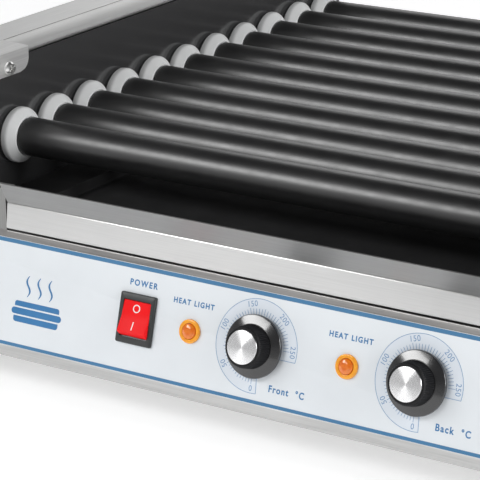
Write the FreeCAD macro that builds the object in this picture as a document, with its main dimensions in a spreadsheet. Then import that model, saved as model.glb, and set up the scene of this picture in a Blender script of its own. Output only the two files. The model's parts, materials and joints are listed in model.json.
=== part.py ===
import FreeCAD, Part
import math
import os
import Sketcher

# Hot dog roller grill with eleven heated rollers. Millimetres, +Z up.
# The origin is on the table under the middle of the grill. +X is to the right of a cook who
# faces the control panel, and -Y points from the grill towards that cook.

# ---------------------------------------------------------------- driving dimensions

DRIVING_SIZES = [
    ("overall_width", 580, "outside of one cheek to the outside of the other"),
    ("overall_depth", 500, "front of the knobs to the back of the cheeks"),
    ("foot_height", 25, "rubber foot, table to casing"),
    ("sheet_metal", 1.2, "casing sheet"),
    ("front_sheet", 1.0, "control panel sheet"),
    ("tray_sheet", 0.8, "drip tray sheet"),
    ("roller_count", 11, "rollers in the bed"),
    ("roller_pitch", 37.5, "axis to axis"),
    ("roller_diameter", 25, "heated tube"),
    ("roller_wall", 1.2, "heated tube wall"),
    ("journal_diameter", 18, "necked end of a roller"),
    ("axis_height", 138, "roller axes above the table"),
    ("bed_width", 436, "inner wall to inner wall"),
    ("bed_shift", 32.8, "middle roller behind the middle of the grill"),
    ("wall_top", 188, "top of the black inner walls"),
    ("cheek_top", 198, "flat top of the cheeks"),
    ("cheek_chamfer", 35, "sloped outer shoulder of a cheek"),
    ("cheek_lean", 26, "front edge of a cheek leans back above the fascia"),
    ("fold_radius", 10, "rolled inner edge of a cheek"),
    ("panel_tilt", 16.2, "control panel, degrees from upright"),
    ("panel_slope", 77.6, "height of the control panel along its slope"),
    ("fascia_top", 126, "upright strip beside the tray"),
    ("notch_width", 348.6, "opening for the tray lip"),
    ("tray_width", 347, "drip tray over its side walls"),
    ("tray_floor", 100.9, "underside of the tray floor"),
    ("tray_depth", 8.6, "side walls of the tray"),
    ("lip_crease", 117.2, "height of the crease of the tray lip"),
    ("lip_top", 131.6, "height of the top of the tray lip"),
    ("lip_flare", 7, "top of the lip in front of its crease"),
    ("bush_flange", 36, "flange diameter of a roller bush"),
    ("bush_reach", 11, "flange of a bush, out from the inner wall"),
    ("running_gap", 0.08, "radial clearance of a running fit"),
    ("chain_pitch", 8, "drive chain"),
    ("chain_roller", 5, "drive chain roller diameter"),
    ("roller_teeth", 12, "sprocket of a roller"),
    ("motor_teeth", 10, "sprocket of the motor"),
    ("motor_drop", 60.2, "motor shaft below the roller axes, for a chain of 108 links"),
    ("chain_plane", 228, "middle of the chain from the middle of the grill"),
    ("control_line", 41, "controls above the bottom edge of the panel, along its slope"),
    ("switch_place", -69.7, "switch from the middle of the grill"),
    ("front_dial", 14.5, "front dial from the middle of the grill"),
    ("dial_spacing", 106.7, "front dial to back dial"),
    ("lamp_offset", -46, "heat lamp from its dial"),
    ("rocker_throw", 12, "rocker tilt each way, degrees"),
    ("cap_face", 16.4, "face of a knob cap above the panel"),
    ("cap_radius", 9.9, "knob cap"),
]

doc = FreeCAD.newDocument("roller_grill")
sheet = doc.addObject("Spreadsheet::Sheet", "sizes")


class Size:
    """A number together with the spreadsheet expression that it comes from."""

    def __init__(self, value, text):
        self.value = value
        self.text = text

    def __add__(self, other):
        other = as_size(other)
        return Size(self.value + other.value, f"({self.text} + {other.text})")

    def __sub__(self, other):
        other = as_size(other)
        return Size(self.value - other.value, f"({self.text} - {other.text})")

    def __mul__(self, other):
        other = as_size(other)
        return Size(self.value * other.value, f"({self.text} * {other.text})")

    def __truediv__(self, other):
        other = as_size(other)
        return Size(self.value / other.value, f"({self.text} / {other.text})")

    def __neg__(self):
        return Size(-self.value, f"(0 - {self.text})")

    def __radd__(self, other):
        return as_size(other) + self

    def __rsub__(self, other):
        return as_size(other) - self

    def __rmul__(self, other):
        return as_size(other) * self

    def __rtruediv__(self, other):
        return as_size(other) / self


def as_size(number):
    if isinstance(number, Size):
        return number
    return Size(float(number), f"({float(number):.6f})")


def sine(angle):
    return Size(math.sin(math.radians(angle.value)), f"sin({angle.text})")


def cosine(angle):
    return Size(math.cos(math.radians(angle.value)), f"cos({angle.text})")


def root(number):
    return Size(math.sqrt(number.value), f"sqrt({number.text})")


def remainder(number, step):
    return Size(math.fmod(number.value, step.value), f"mod({number.text}; {step.text})")


def fill_sheet():
    """Write the driving dimensions and give each one back as a Size."""
    sizes = {}
    for row, (alias, value, note) in enumerate(DRIVING_SIZES, start=1):
        sheet.set(f"A{row}", alias)
        sheet.set(f"B{row}", str(value))
        sheet.set(f"C{row}", note)
        sheet.setAlias(f"B{row}", alias)
        sizes[alias] = Size(float(value), f"sizes.{alias}")
    doc.recompute()
    return sizes


dim = fill_sheet()

# ---------------------------------------------------------------- places worked out from them

half_width = dim["overall_width"] / 2
half_bed = dim["bed_width"] / 2
metal = dim["sheet_metal"]
tilt = dim["panel_tilt"]
foot = dim["foot_height"]
axis_height = dim["axis_height"]
back = dim["overall_depth"] / 2
wall_outside = half_bed + metal

cap_low_edge = dim["control_line"] - dim["cap_radius"]
knob_overhang = dim["cap_face"] * cosine(tilt) - cap_low_edge * sine(tilt)
panel_front = knob_overhang - back
fascia = panel_front + dim["panel_slope"] * sine(tilt)
panel_top = foot + dim["panel_slope"] * cosine(tilt)
cheek_front_top = fascia + dim["cheek_lean"]

first_roller = dim["bed_shift"] - (dim["roller_count"] - 1) * dim["roller_pitch"] / 2
bed_length = (dim["roller_count"] - 1) * dim["roller_pitch"]
roller_radius = dim["roller_diameter"] / 2
journal_radius = dim["journal_diameter"] / 2
roller_end = half_bed - dim["bush_reach"] - 0.5
journal_end = dim["chain_plane"] + 14

back_dial = dim["front_dial"] + dim["dial_spacing"]
rear_panel_face = back - 7.3
rear_panel_top = axis_height

ROLLERS = range(int(dim["roller_count"].value))


def front_edge_at(height):
    """Depth of the leaning front edge of a cheek at a height."""
    part_way = (height - dim["fascia_top"]) / (dim["cheek_top"] - dim["fascia_top"])
    return fascia + dim["cheek_lean"] * part_way


# ---------------------------------------------------------------- drawing helpers

def bind(item, path, size):
    item.setExpression(path, as_size(size).text)


def new_body(label, x=0, y=0, z=0):
    body = doc.addObject("PartDesign::Body", label)
    body.Label = label
    bind(body, "Placement.Base.x", x)
    bind(body, "Placement.Base.y", y)
    bind(body, "Placement.Base.z", z)
    return body


def new_panel_body(label, x=0):
    """A body that stands on the sloped panel: local Z runs up the slope, local -Y faces out."""
    body = new_body(label, x, panel_front, foot)
    body.Placement.Rotation = FreeCAD.Rotation(FreeCAD.Vector(1, 0, 0), -tilt.value)
    bind(body, "Placement.Rotation.Angle", -tilt)
    return body


def origin_feature(body, role):
    return [item for item in body.Origin.OriginFeatures if item.Role == role][0]


def new_sketch(body, role, lift=0):
    sketch = body.newObject("Sketcher::SketchObject", body.Label + "_sketch")
    sketch.AttachmentSupport = [(origin_feature(body, role), "")]
    sketch.MapMode = "FlatFace"
    bind(sketch, "AttachmentOffset.Base.z", lift)
    return sketch


def arc_between(start, end, radius, clockwise):
    """Short arc between two points, and whether it was drawn from end to start."""
    middle = (start + end) / 2
    chord = end - start
    sideways = FreeCAD.Vector(-chord.y, chord.x, 0).normalize()
    rise = math.sqrt(max(radius ** 2 - (chord.Length / 2) ** 2, 0))
    centre = middle + sideways * (-rise if clockwise else rise)
    low, high = (end, start) if clockwise else (start, end)
    first = math.atan2(low.y - centre.y, low.x - centre.x)
    last = math.atan2(high.y - centre.y, high.x - centre.x)
    circle = Part.Circle(centre, FreeCAD.Vector(0, 0, 1), radius)
    return Part.ArcOfCircle(circle, first, last)


def pin_vertex(sketch, geometry, end, across, up):
    """Tie one end of a line or arc to its two distances from the sketch origin."""
    for kind, size in (("DistanceX", across), ("DistanceY", up)):
        number = sketch.addConstraint(Sketcher.Constraint(kind, -1, 1, geometry, end, size.value))
        bind(sketch, f"Constraints[{number}]", size)


def draw_outline(sketch, corners):
    """Closed outline. A corner is (across, up), or (across, up, radius) where an arc arrives:
    anticlockwise for a positive radius, clockwise for a negative one."""
    first = sketch.GeometryCount
    count = len(corners)
    places = [(as_size(corner[0]), as_size(corner[1])) for corner in corners]
    ends = []
    for number in range(count):
        start = FreeCAD.Vector(places[number][0].value, places[number][1].value, 0)
        following = (number + 1) % count
        end = FreeCAD.Vector(places[following][0].value, places[following][1].value, 0)
        if len(corners[following]) == 3:
            radius = as_size(corners[following][2])
            clockwise = radius.value < 0
            sketch.addGeometry(arc_between(start, end, abs(radius.value), clockwise), False)
            ends.append((2, 1) if clockwise else (1, 2))
            length = -radius if clockwise else radius
            limit = Sketcher.Constraint("Radius", first + number, length.value)
            bind(sketch, f"Constraints[{sketch.addConstraint(limit)}]", length)
        else:
            sketch.addGeometry(Part.LineSegment(start, end), False)
            ends.append((1, 2))
    for number in range(count):
        following = (number + 1) % count
        sketch.addConstraint(Sketcher.Constraint(
            "Coincident", first + number, ends[number][1], first + following, ends[following][0]))
        pin_vertex(sketch, first + number, ends[number][0], *places[number])


def draw_rectangle(sketch, across, up):
    draw_outline(sketch, [(across[0], up[0]), (across[1], up[0]), (across[1], up[1]),
                          (across[0], up[1])])


def draw_circle(sketch, across, up, radius):
    across, up, radius = as_size(across), as_size(up), as_size(radius)
    centre = FreeCAD.Vector(across.value, up.value, 0)
    circle = Part.Circle(centre, FreeCAD.Vector(0, 0, 1), radius.value)
    number = sketch.addGeometry(circle, False)
    pin_vertex(sketch, number, 3, across, up)
    limit = sketch.addConstraint(Sketcher.Constraint("Radius", number, radius.value))
    bind(sketch, f"Constraints[{limit}]", radius)


def pad(body, sketch, length, side="One side", backwards=False):
    feature = body.newObject("PartDesign::Pad", body.Label + "_pad")
    feature.Profile = sketch
    feature.SideType = side
    feature.Reversed = backwards
    bind(feature, "Length", length)
    body.Tip = feature
    return feature


def cut_through(body, sketch):
    """Cut a sketch both ways through everything in the body."""
    feature = body.newObject("PartDesign::Pocket", body.Label + "_cut")
    feature.Profile = sketch
    feature.SideType = "Symmetric"
    feature.Type = "ThroughAll"
    body.Tip = feature
    return feature


def spin_profile(body, sketch):
    """Turn a sketch right round its own horizontal axis."""
    feature = body.newObject("PartDesign::Revolution", body.Label + "_turned")
    feature.Profile = sketch
    feature.ReferenceAxis = (sketch, ["H_Axis"])
    feature.Angle = 360
    body.Tip = feature
    return feature


def repeat_in_line(body, feature, role, length, count):
    pattern = body.newObject("PartDesign::LinearPattern", body.Label + "_row")
    pattern.Originals = [feature]
    pattern.Direction = (origin_feature(body, role), [""])
    bind(pattern, "Length", length)
    bind(pattern, "Occurrences", count)
    body.Tip = pattern
    return pattern


def repeat_round(body, sketch, feature, count):
    pattern = body.newObject("PartDesign::PolarPattern", body.Label + "_ring")
    pattern.Originals = [feature]
    pattern.Axis = (sketch, ["N_Axis"])
    pattern.Angle = 360
    bind(pattern, "Occurrences", count)
    body.Tip = pattern
    return pattern


def block(body, x, y, z, kind="PartDesign::AdditiveBox"):
    """A box between two places along each axis, added to the body or cut from it."""
    box = body.newObject(kind, body.Label + "_block")
    for name, axis, (low, high) in (("Length", "x", x), ("Width", "y", y), ("Height", "z", z)):
        bind(box, name, as_size(high) - low)
        bind(box, f"Placement.Base.{axis}", low)
    body.Tip = box
    return box


def mirrored(side, low, high):
    """A span on the right side, or its mirror image on the left."""
    if side > 0:
        return (as_size(low), as_size(high))
    return (-as_size(high), -as_size(low))


def drill_across(body, places, radius):
    """Holes parallel to X right through a body, at (y, z) places."""
    sketch = new_sketch(body, "YZ_Plane")
    for place in places:
        draw_circle(sketch, place[0], place[1], radius)
    return cut_through(body, sketch)


def drill_tab_screw(body, side):
    """Hole for the tab's screw through the sheets beside the roller bed only."""
    length = 6
    beyond = 2
    start = half_bed + beyond if side > 0 else length - beyond - half_bed
    sketch = new_sketch(body, "YZ_Plane", start)
    draw_circle(sketch, tab_screw[0], tab_screw[1], SCREW_HOLE)
    feature = body.newObject("PartDesign::Pocket", body.Label + "_hole")
    feature.Profile = sketch
    feature.SideType = "One side"
    bind(feature, "Length", length)
    body.Tip = feature


# ---------------------------------------------------------------- casing

SIDE_SCREW_ROWS = [-170, 30, 200]
SIDE_SCREW_RISE = 10
SCREW_HOLE = 2.1
TAB_SCREW_SETBACK = 60.2
TAB_SCREW_DROP = 5
tab_screw = (fascia + TAB_SCREW_SETBACK, dim["wall_top"] - TAB_SCREW_DROP)


def side_screw_places():
    return [(row, foot + SIDE_SCREW_RISE) for row in SIDE_SCREW_ROWS]


PANEL_RETURN = 10
PAN_WALL = 20
FOOT_RADIUS = 16
FOOT_BOSS_RADIUS = 2.5
FOOT_BOSS_HEIGHT = 8
FOOT_PLACES = [(side * 250, depth) for side in (-1, 1) for depth in (-200, 205)]


def make_base_pan():
    """Shallow folded pan that closes the casing underneath."""
    body = new_body("base_pan")
    outside = half_width - metal - 0.2
    front = panel_front + PANEL_RETURN + 0.4
    rear = rear_panel_face - metal - 0.3
    inner = outside - metal
    front_wall = 12
    rear_wall = (0.4 - half_bed, half_bed - 0.4)
    block(body, (-outside, outside), (front, rear), (foot, foot + metal))
    for side in (-1, 1):
        block(body, mirrored(side, inner, outside), (front, rear), (foot, foot + PAN_WALL))
    block(body, (-outside, outside), (front, front + metal), (foot, foot + front_wall))
    block(body, rear_wall, (rear - metal, rear), (foot, foot + PAN_WALL))
    sketch = new_sketch(body, "XY_Plane")
    for across, depth in FOOT_PLACES:
        draw_circle(sketch, across, depth, FOOT_BOSS_RADIUS + 0.1)
    cut_through(body, sketch)
    vents = 21
    vent_row = 300
    vent_width = 4
    vent_depth = (60, 130)
    vent = new_sketch(body, "XY_Plane")
    draw_rectangle(vent, (-vent_row / 2, vent_width - vent_row / 2), vent_depth)
    slot = cut_through(body, vent)
    repeat_in_line(body, slot, "X_Axis", vent_row, vents)
    drill_across(body, side_screw_places(), SCREW_HOLE)
    return body


def make_feet():
    """Four rubber feet, each with a screw boss through the base pan."""
    body = new_body("feet")
    pads = new_sketch(body, "XY_Plane")
    for across, depth in FOOT_PLACES:
        draw_circle(pads, across, depth, FOOT_RADIUS)
    pad(body, pads, foot)
    bosses = new_sketch(body, "XY_Plane", foot)
    for across, depth in FOOT_PLACES:
        draw_circle(bosses, across, depth, FOOT_BOSS_RADIUS)
    pad(body, bosses, FOOT_BOSS_HEIGHT)
    return body


def make_control_panel():
    """Sloped panel, upright fascia with the tray notch, and their return flanges."""
    body = new_body("control_panel")
    skin = dim["front_sheet"]
    slope = dim["panel_slope"]
    upper_inner = slope + skin * (1 - cosine(tilt)) / sine(tilt)
    lower_inner = skin * (1 + sine(tilt)) / cosine(tilt)

    def inner_face(along):
        return (panel_front + along * sine(tilt) + skin * cosine(tilt),
                foot + along * cosine(tilt) - skin * sine(tilt))

    sketch = new_sketch(body, "YZ_Plane")
    draw_outline(sketch, [
        (panel_front, foot),
        (panel_front + PANEL_RETURN, foot),
        (panel_front + PANEL_RETURN, foot + skin),
        inner_face(lower_inner),
        inner_face(upper_inner),
        (fascia + skin, dim["fascia_top"] - skin),
        (fascia + PANEL_RETURN, dim["fascia_top"] - skin),
        (fascia + PANEL_RETURN, dim["fascia_top"]),
        (fascia, dim["fascia_top"]),
        (fascia, panel_top),
    ])
    pad(body, sketch, dim["overall_width"], "Symmetric")
    half_notch = dim["notch_width"] / 2
    beyond = 2
    block(body, (-half_notch, half_notch), (fascia - beyond, fascia + PANEL_RETURN + beyond),
          (panel_top, dim["fascia_top"] + beyond), "PartDesign::SubtractiveBox")
    block(body, (-half_notch, half_notch), (fascia + 0.3, fascia + PANEL_RETURN),
          (panel_top - skin, panel_top))
    trim_panel_returns(body)
    openings = new_sketch(body, "XZ_Plane")
    openings.AttachmentOffset = FreeCAD.Placement(
        FreeCAD.Vector(0, 0, 0), FreeCAD.Rotation(FreeCAD.Vector(1, 0, 0), -tilt.value))
    bind(openings, "AttachmentOffset.Base.y", foot)
    bind(openings, "AttachmentOffset.Base.z", -panel_front)
    bind(openings, "AttachmentOffset.Rotation.Angle", -tilt)
    draw_control_openings(openings)
    cut_through(body, openings)
    return body


def trim_panel_returns(body):
    """Stop both returns short of the covers and slot the upper one for the inner walls."""
    clearance = 0.3
    skin = dim["front_sheet"]
    behind_skin = skin + clearance
    beyond = PANEL_RETURN + 1
    top = (dim["fascia_top"] - skin - 1, dim["fascia_top"] + 1)
    bottom = (foot - 1, foot + skin)
    for side in (-1, 1):
        end = mirrored(side, half_width - metal - clearance, half_width + 1)
        wall = mirrored(side, half_bed - clearance, wall_outside + clearance)
        for x, front, z in ((end, fascia, top), (end, panel_front, bottom), (wall, fascia, top)):
            block(body, x, (front + behind_skin, front + beyond), z, "PartDesign::SubtractiveBox")


SWITCH_BODY = (11, 13.4)
LAMP_BARREL = 5.9
SHAFT_OPENING = 5


def draw_control_openings(sketch):
    """Cut-outs for the switch, the lamps and the knob shafts, along the control line."""
    fit = 0.2
    line = dim["control_line"]
    switch = dim["switch_place"]
    half_width_cut = SWITCH_BODY[0] + fit
    half_height_cut = SWITCH_BODY[1] + fit
    draw_rectangle(sketch, (switch - half_width_cut, switch + half_width_cut),
                   (line - half_height_cut, line + half_height_cut))
    for dial in (dim["front_dial"], back_dial):
        draw_circle(sketch, dial, line, SHAFT_OPENING)
        draw_circle(sketch, dial + dim["lamp_offset"], line, LAMP_BARREL + fit)


OVERLAY_THICKNESS = 0.4


def make_panel_overlay():
    """Printed plastic sheet stuck on the sloped panel."""
    body = new_panel_body("panel_overlay")
    sketch = new_sketch(body, "XZ_Plane")
    edge = half_width - 6
    bottom_border = 7.7
    top_border = 4.4
    draw_rectangle(sketch, (-edge, edge), (bottom_border, dim["panel_slope"] - top_border))
    draw_control_openings(sketch)
    pad(body, sketch, OVERLAY_THICKNESS)
    return body


def make_rear_panel():
    """Low rear panel between the cheeks, with vents and the cable hole."""
    body = new_body("rear_panel")
    sketch = new_sketch(body, "YZ_Plane")
    inner = rear_panel_face - metal
    full_width_top = rear_panel_top - 22
    draw_outline(sketch, [
        (rear_panel_face, foot),
        (rear_panel_face, full_width_top),
        (inner, full_width_top),
        (inner, foot),
    ])
    pad(body, sketch, dim["bed_width"] + 2 * metal, "Symmetric")
    between_walls = (1 - half_bed, half_bed - 1)
    block(body, between_walls, (inner, rear_panel_face), (full_width_top - 2, rear_panel_top - 2))
    vents = 17
    vent_row = 240
    first_vent = -110
    vent_width = 5
    vent_height = (50, 90)
    vent = new_sketch(body, "XZ_Plane")
    draw_rectangle(vent, (first_vent, first_vent + vent_width), vent_height)
    slot = cut_through(body, vent)
    repeat_in_line(body, slot, "X_Axis", vent_row, vents)
    cable = new_sketch(body, "XZ_Plane")
    draw_circle(cable, GLAND_PLACE[0], GLAND_PLACE[1], GLAND_BARREL + 0.2)
    cut_through(body, cable)
    return body


GLAND_PLACE = (-180, 60)
GLAND_BARREL = 7.8
GLAND_NUT = 11
CABLE_BORE = 4


def make_cable_gland():
    """Gland in the rear panel where the mains cable enters."""
    body = new_body("cable_gland", GLAND_PLACE[0], 0, GLAND_PLACE[1])
    proud = 6
    length = 22
    inside = new_sketch(body, "XZ_Plane", -(rear_panel_face + proud))
    draw_circle(inside, 0, 0, GLAND_BARREL)
    draw_circle(inside, 0, 0, CABLE_BORE)
    pad(body, inside, length)
    for start, thickness in ((0.1, 4), (-7, 5)):
        nut = new_sketch(body, "XZ_Plane", -(rear_panel_face + start + thickness))
        draw_circle(nut, 0, 0, GLAND_NUT)
        draw_circle(nut, 0, 0, CABLE_BORE)
        pad(body, nut, thickness)
    return body


def make_inner_wall(side):
    """Black side wall of the roller bed, with a hole for each bush."""
    body = new_body("right_inner_wall" if side > 0 else "left_inner_wall")
    inset = 1.8
    gap = 0.1
    shaft_hole = 7
    top = dim["wall_top"]
    bottom = foot + 2
    behind_panel = rear_panel_face - metal - gap
    behind_bed = back - metal - gap
    step = rear_panel_top - 1
    sketch = new_sketch(body, "YZ_Plane", half_bed if side > 0 else -wall_outside)
    draw_outline(sketch, [
        (fascia + inset, bottom),
        (behind_panel, bottom),
        (behind_panel, step),
        (behind_bed, step),
        (behind_bed, top),
        (front_edge_at(top) + inset, top),
        (fascia + inset, dim["fascia_top"]),
    ])
    pad(body, sketch, metal)
    hole = drill_across(body, [(first_roller, axis_height)], BUSH_BARREL + 0.1)
    repeat_in_line(body, hole, "Y_Axis", bed_length, dim["roller_count"])
    drill_tab_screw(body, side)
    if side > 0:
        motor_height = axis_height - dim["motor_drop"]
        drill_across(body, [(dim["bed_shift"], motor_height)], shaft_hole)
    return body


def cheek_band(side):
    """Outline of the cover sheet seen from the front, from its hook to its bottom edge."""
    reach = dim["fold_radius"]
    hook = half_bed - metal
    top = dim["cheek_top"]
    chamfer = dim["cheek_chamfer"]
    bend = metal * (math.sqrt(2) - 1)
    hem = 2
    fold_x = hook + reach
    points = [
        (hook, dim["wall_top"] - hem),
        (hook, dim["wall_top"]),
        (fold_x, top, -reach),
        (half_width - chamfer, top),
        (half_width, top - chamfer),
        (half_width, foot),
        (half_width - metal, foot),
        (half_width - metal, top - chamfer - bend),
        (half_width - chamfer - bend, top - metal),
        (fold_x, top - metal),
        (half_bed, dim["wall_top"], reach - metal),
        (half_bed, dim["wall_top"] - hem),
    ]
    if side > 0:
        return points
    flipped = []
    for point in points:
        turned = (-as_size(point[0]),) + tuple(point[1:2])
        if len(point) == 3:
            turned = turned + (-as_size(point[2]),)
        flipped.append(turned)
    return flipped


def make_cover(side):
    """Outer sheet of a cheek: rolled inner edge, flat top, sloped shoulder and side."""
    body = new_body("right_cover" if side > 0 else "left_cover")
    rear = back - metal
    sketch = new_sketch(body, "XZ_Plane", -rear)
    draw_outline(sketch, cheek_band(side))
    pad(body, sketch, rear - panel_front)
    trim = new_sketch(body, "YZ_Plane")
    gap = metal + 0.1
    ahead = panel_front - 20
    below = foot - 1
    above = dim["cheek_top"] + 1
    draw_outline(trim, [
        (panel_front + gap, below),
        (fascia + gap, panel_top),
        (fascia + gap, dim["fascia_top"]),
        (cheek_front_top + gap + 0.4, above),
        (ahead, above),
        (ahead, below),
    ])
    cut_through(body, trim)
    drill_across(body, side_screw_places(), SCREW_HOLE)
    drill_tab_screw(body, side)
    return body


def make_front_cap(side):
    """Leaning front plate of a cheek, with the screwed tab that laps over the rolled edge."""
    body = new_body("right_front_cap" if side > 0 else "left_front_cap")
    tab_face = half_bed - 2 * metal
    x_span = mirrored(side, tab_face, half_width)
    top = dim["cheek_top"]
    bottom = dim["fascia_top"] + 0.1
    sketch = new_sketch(body, "YZ_Plane", x_span[0])
    draw_outline(sketch, [
        (fascia, bottom),
        (fascia + metal, bottom),
        (cheek_front_top + metal, top),
        (cheek_front_top, top),
    ])
    pad(body, sketch, half_width - tab_face)
    beyond = 1
    above = top + beyond
    outside = half_width + beyond
    shoulder = half_width - dim["cheek_chamfer"]
    mark = 1 if side > 0 else -1
    corner = new_sketch(body, "XZ_Plane")
    draw_outline(corner, [
        (mark * shoulder, top),
        (mark * outside, top - dim["cheek_chamfer"] - beyond),
        (mark * outside, above),
        (mark * shoulder, above),
    ])
    cut_through(body, corner)
    fold_start = half_bed + 7.5
    inner_corner = new_sketch(body, "XZ_Plane")
    draw_outline(inner_corner, [
        (mark * (tab_face - beyond), dim["wall_top"] + 2.9),
        (mark * fold_start, top),
        (mark * fold_start, above),
        (mark * (tab_face - beyond), above),
    ])
    cut_through(body, inner_corner)
    tab_rear = fascia + 78.2
    tab_low = dim["wall_top"] - 10
    lap_end = half_bed + 5.5
    lap_under = top + 0.2
    tab = new_sketch(body, "XZ_Plane", -tab_rear)
    draw_outline(tab, [
        (mark * tab_face, tab_low),
        (mark * tab_face, dim["wall_top"] + 5.2),
        (mark * lap_end, lap_under + metal),
        (mark * lap_end, lap_under),
        (mark * (half_bed - metal), dim["wall_top"] + 4.7),
        (mark * (half_bed - metal), tab_low),
    ])
    pad(body, tab, tab_rear - front_edge_at(tab_low) - 1)
    rounding = new_sketch(body, "YZ_Plane")
    bend = 7
    draw_outline(rounding, [
        (tab_rear - bend, tab_low),
        (tab_rear, tab_low + bend, bend),
        (tab_rear + 1, tab_low + bend),
        (tab_rear + 1, tab_low - 1),
        (tab_rear - bend, tab_low - 1),
    ])
    cut_through(body, rounding)
    clear_of_lap = top + 3
    ahead = fascia - 20
    lean = new_sketch(body, "YZ_Plane")
    draw_outline(lean, [
        (fascia, dim["fascia_top"]),
        (front_edge_at(clear_of_lap), clear_of_lap),
        (ahead, clear_of_lap),
        (ahead, dim["fascia_top"]),
    ])
    cut_through(body, lean)
    drill_tab_screw(body, side)
    return body


def make_rear_cap(side):
    """Flat plate that closes the back of a cheek."""
    body = new_body("right_rear_cap" if side > 0 else "left_rear_cap")
    top = dim["cheek_top"]
    chamfer = dim["cheek_chamfer"]
    hook = half_bed - metal
    mark = 1 if side > 0 else -1
    reach = dim["fold_radius"]
    sketch = new_sketch(body, "XZ_Plane", -back)
    draw_outline(sketch, [
        (mark * hook, foot),
        (mark * half_width, foot),
        (mark * half_width, top - chamfer),
        (mark * (half_width - chamfer), top),
        (mark * (hook + reach), top),
        (mark * hook, dim["wall_top"], mark * reach),
    ])
    pad(body, sketch, metal - 0.05)
    return body


def make_screws():
    """Pan-head screws of the tabs and of the sides of the covers."""
    body = new_body("case_screws")
    head = 3.6
    head_height = 2.2
    tab_head = 4.4
    tab_head_height = 2.8
    shank = 1.9
    shank_length = 8
    tab_face = half_bed - 2 * metal
    for side in (-1, 1):
        heads = new_sketch(body, "YZ_Plane", side * tab_face)
        draw_circle(heads, tab_screw[0], tab_screw[1], tab_head)
        pad(body, heads, tab_head_height, backwards=side > 0)
        shanks = new_sketch(body, "YZ_Plane", side * tab_face)
        draw_circle(shanks, tab_screw[0], tab_screw[1], shank)
        pad(body, shanks, shank_length, backwards=side < 0)
        heads = new_sketch(body, "YZ_Plane", side * half_width)
        shanks = new_sketch(body, "YZ_Plane", side * half_width)
        for depth, height in side_screw_places():
            draw_circle(heads, depth, height, head)
            draw_circle(shanks, depth, height, shank)
        pad(body, heads, head_height, backwards=side < 0)
        pad(body, shanks, shank_length, backwards=side > 0)
    return body


# ---------------------------------------------------------------- roller bed

BUSH_BARREL = 12


def make_bushes(side):
    """Row of flanged bushes pressed into one inner wall, bevelled towards the rollers."""
    body = new_body("right_bushes" if side > 0 else "left_bushes", 0, first_roller, axis_height)
    mark = 1 if side > 0 else -1
    bore = journal_radius + dim["running_gap"]
    flange = dim["bush_flange"] / 2
    tip = half_bed - dim["bush_reach"]
    bevel_end = half_bed - 6.2
    flange_back = half_bed - 2.2
    seat = flange - 3
    outer_end = wall_outside + 3
    sketch = new_sketch(body, "XZ_Plane")
    draw_outline(sketch, [
        (mark * tip, bore),
        (mark * tip, roller_radius + 0.9),
        (mark * bevel_end, flange),
        (mark * flange_back, flange),
        (mark * flange_back, seat),
        (mark * half_bed, seat),
        (mark * half_bed, BUSH_BARREL),
        (mark * outer_end, BUSH_BARREL),
        (mark * outer_end, bore),
    ])
    bush = spin_profile(body, sketch)
    repeat_in_line(body, bush, "Y_Axis", bed_length, dim["roller_count"])
    return body


def roller_depth(number):
    return first_roller + number * dim["roller_pitch"]


def make_roller(number):
    """Hollow heated tube with necked ends that run in the bushes."""
    body = new_body(f"roller_{number + 1:02d}", 0, roller_depth(number), axis_height)
    neck = journal_radius
    neck_wall = 1.6
    neck_inside = journal_radius - neck_wall
    tube_inside = roller_radius - dim["roller_wall"]
    shoulder = roller_end - 3
    left_end = -(wall_outside + 8)
    sketch = new_sketch(body, "XZ_Plane")
    draw_outline(sketch, [
        (left_end, neck),
        (-roller_end, neck),
        (-roller_end, roller_radius),
        (roller_end, roller_radius),
        (roller_end, neck),
        (journal_end, neck),
        (journal_end, neck_inside),
        (shoulder, neck_inside),
        (shoulder, tube_inside),
        (-shoulder, tube_inside),
        (-shoulder, neck_inside),
        (left_end, neck_inside),
    ])
    spin_profile(body, sketch)
    return body


BRACKET_PLACE = 250
ROD_RADIUS = 4


def make_heating_elements():
    """A straight heating rod through the middle of every roller."""
    body = new_body("heating_elements", 0, first_roller, axis_height)
    reach = BRACKET_PLACE + 10
    sketch = new_sketch(body, "YZ_Plane", -reach)
    draw_circle(sketch, 0, 0, ROD_RADIUS)
    rod = pad(body, sketch, 2 * reach)
    repeat_in_line(body, rod, "Y_Axis", bed_length, dim["roller_count"])
    return body


def make_element_bracket(side):
    """Folded strip on the outside of an inner wall that holds the ends of the rods."""
    body = new_body("right_rod_bracket" if side > 0 else "left_rod_bracket")
    low = axis_height - 10
    high = axis_height + 27
    margin = 12
    span = (first_roller - margin, first_roller + bed_length + margin)
    block(body, mirrored(side, BRACKET_PLACE, BRACKET_PLACE + metal), span, (low, high))
    block(body, mirrored(side, wall_outside, BRACKET_PLACE), span, (high - metal, high))
    hole = drill_across(body, [(first_roller, axis_height)], ROD_RADIUS + 0.1)
    repeat_in_line(body, hole, "Y_Axis", bed_length, dim["roller_count"])
    return body


# ---------------------------------------------------------------- drive

def pitch_radius(teeth):
    return dim["chain_pitch"] / 2 / sine(180 / teeth)


SPROCKET_THICKNESS = 2.8


def cut_teeth(body, teeth):
    """Tooth gaps of a chain sprocket: a round seat for the chain roller with open flanks."""
    seat = dim["chain_roller"] / 2 + 0.1
    centre = pitch_radius(teeth)
    gap = new_sketch(body, "YZ_Plane")
    shoulder = 0.3
    half_gap = root(seat * seat - shoulder * shoulder)
    mouth = seat + 1.1
    beyond = centre + 3
    draw_outline(gap, [
        (centre - shoulder, -half_gap),
        (centre - shoulder, half_gap, -seat),
        (beyond, mouth),
        (beyond, -mouth),
    ])
    repeat_round(body, gap, cut_through(body, gap), teeth)


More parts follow.
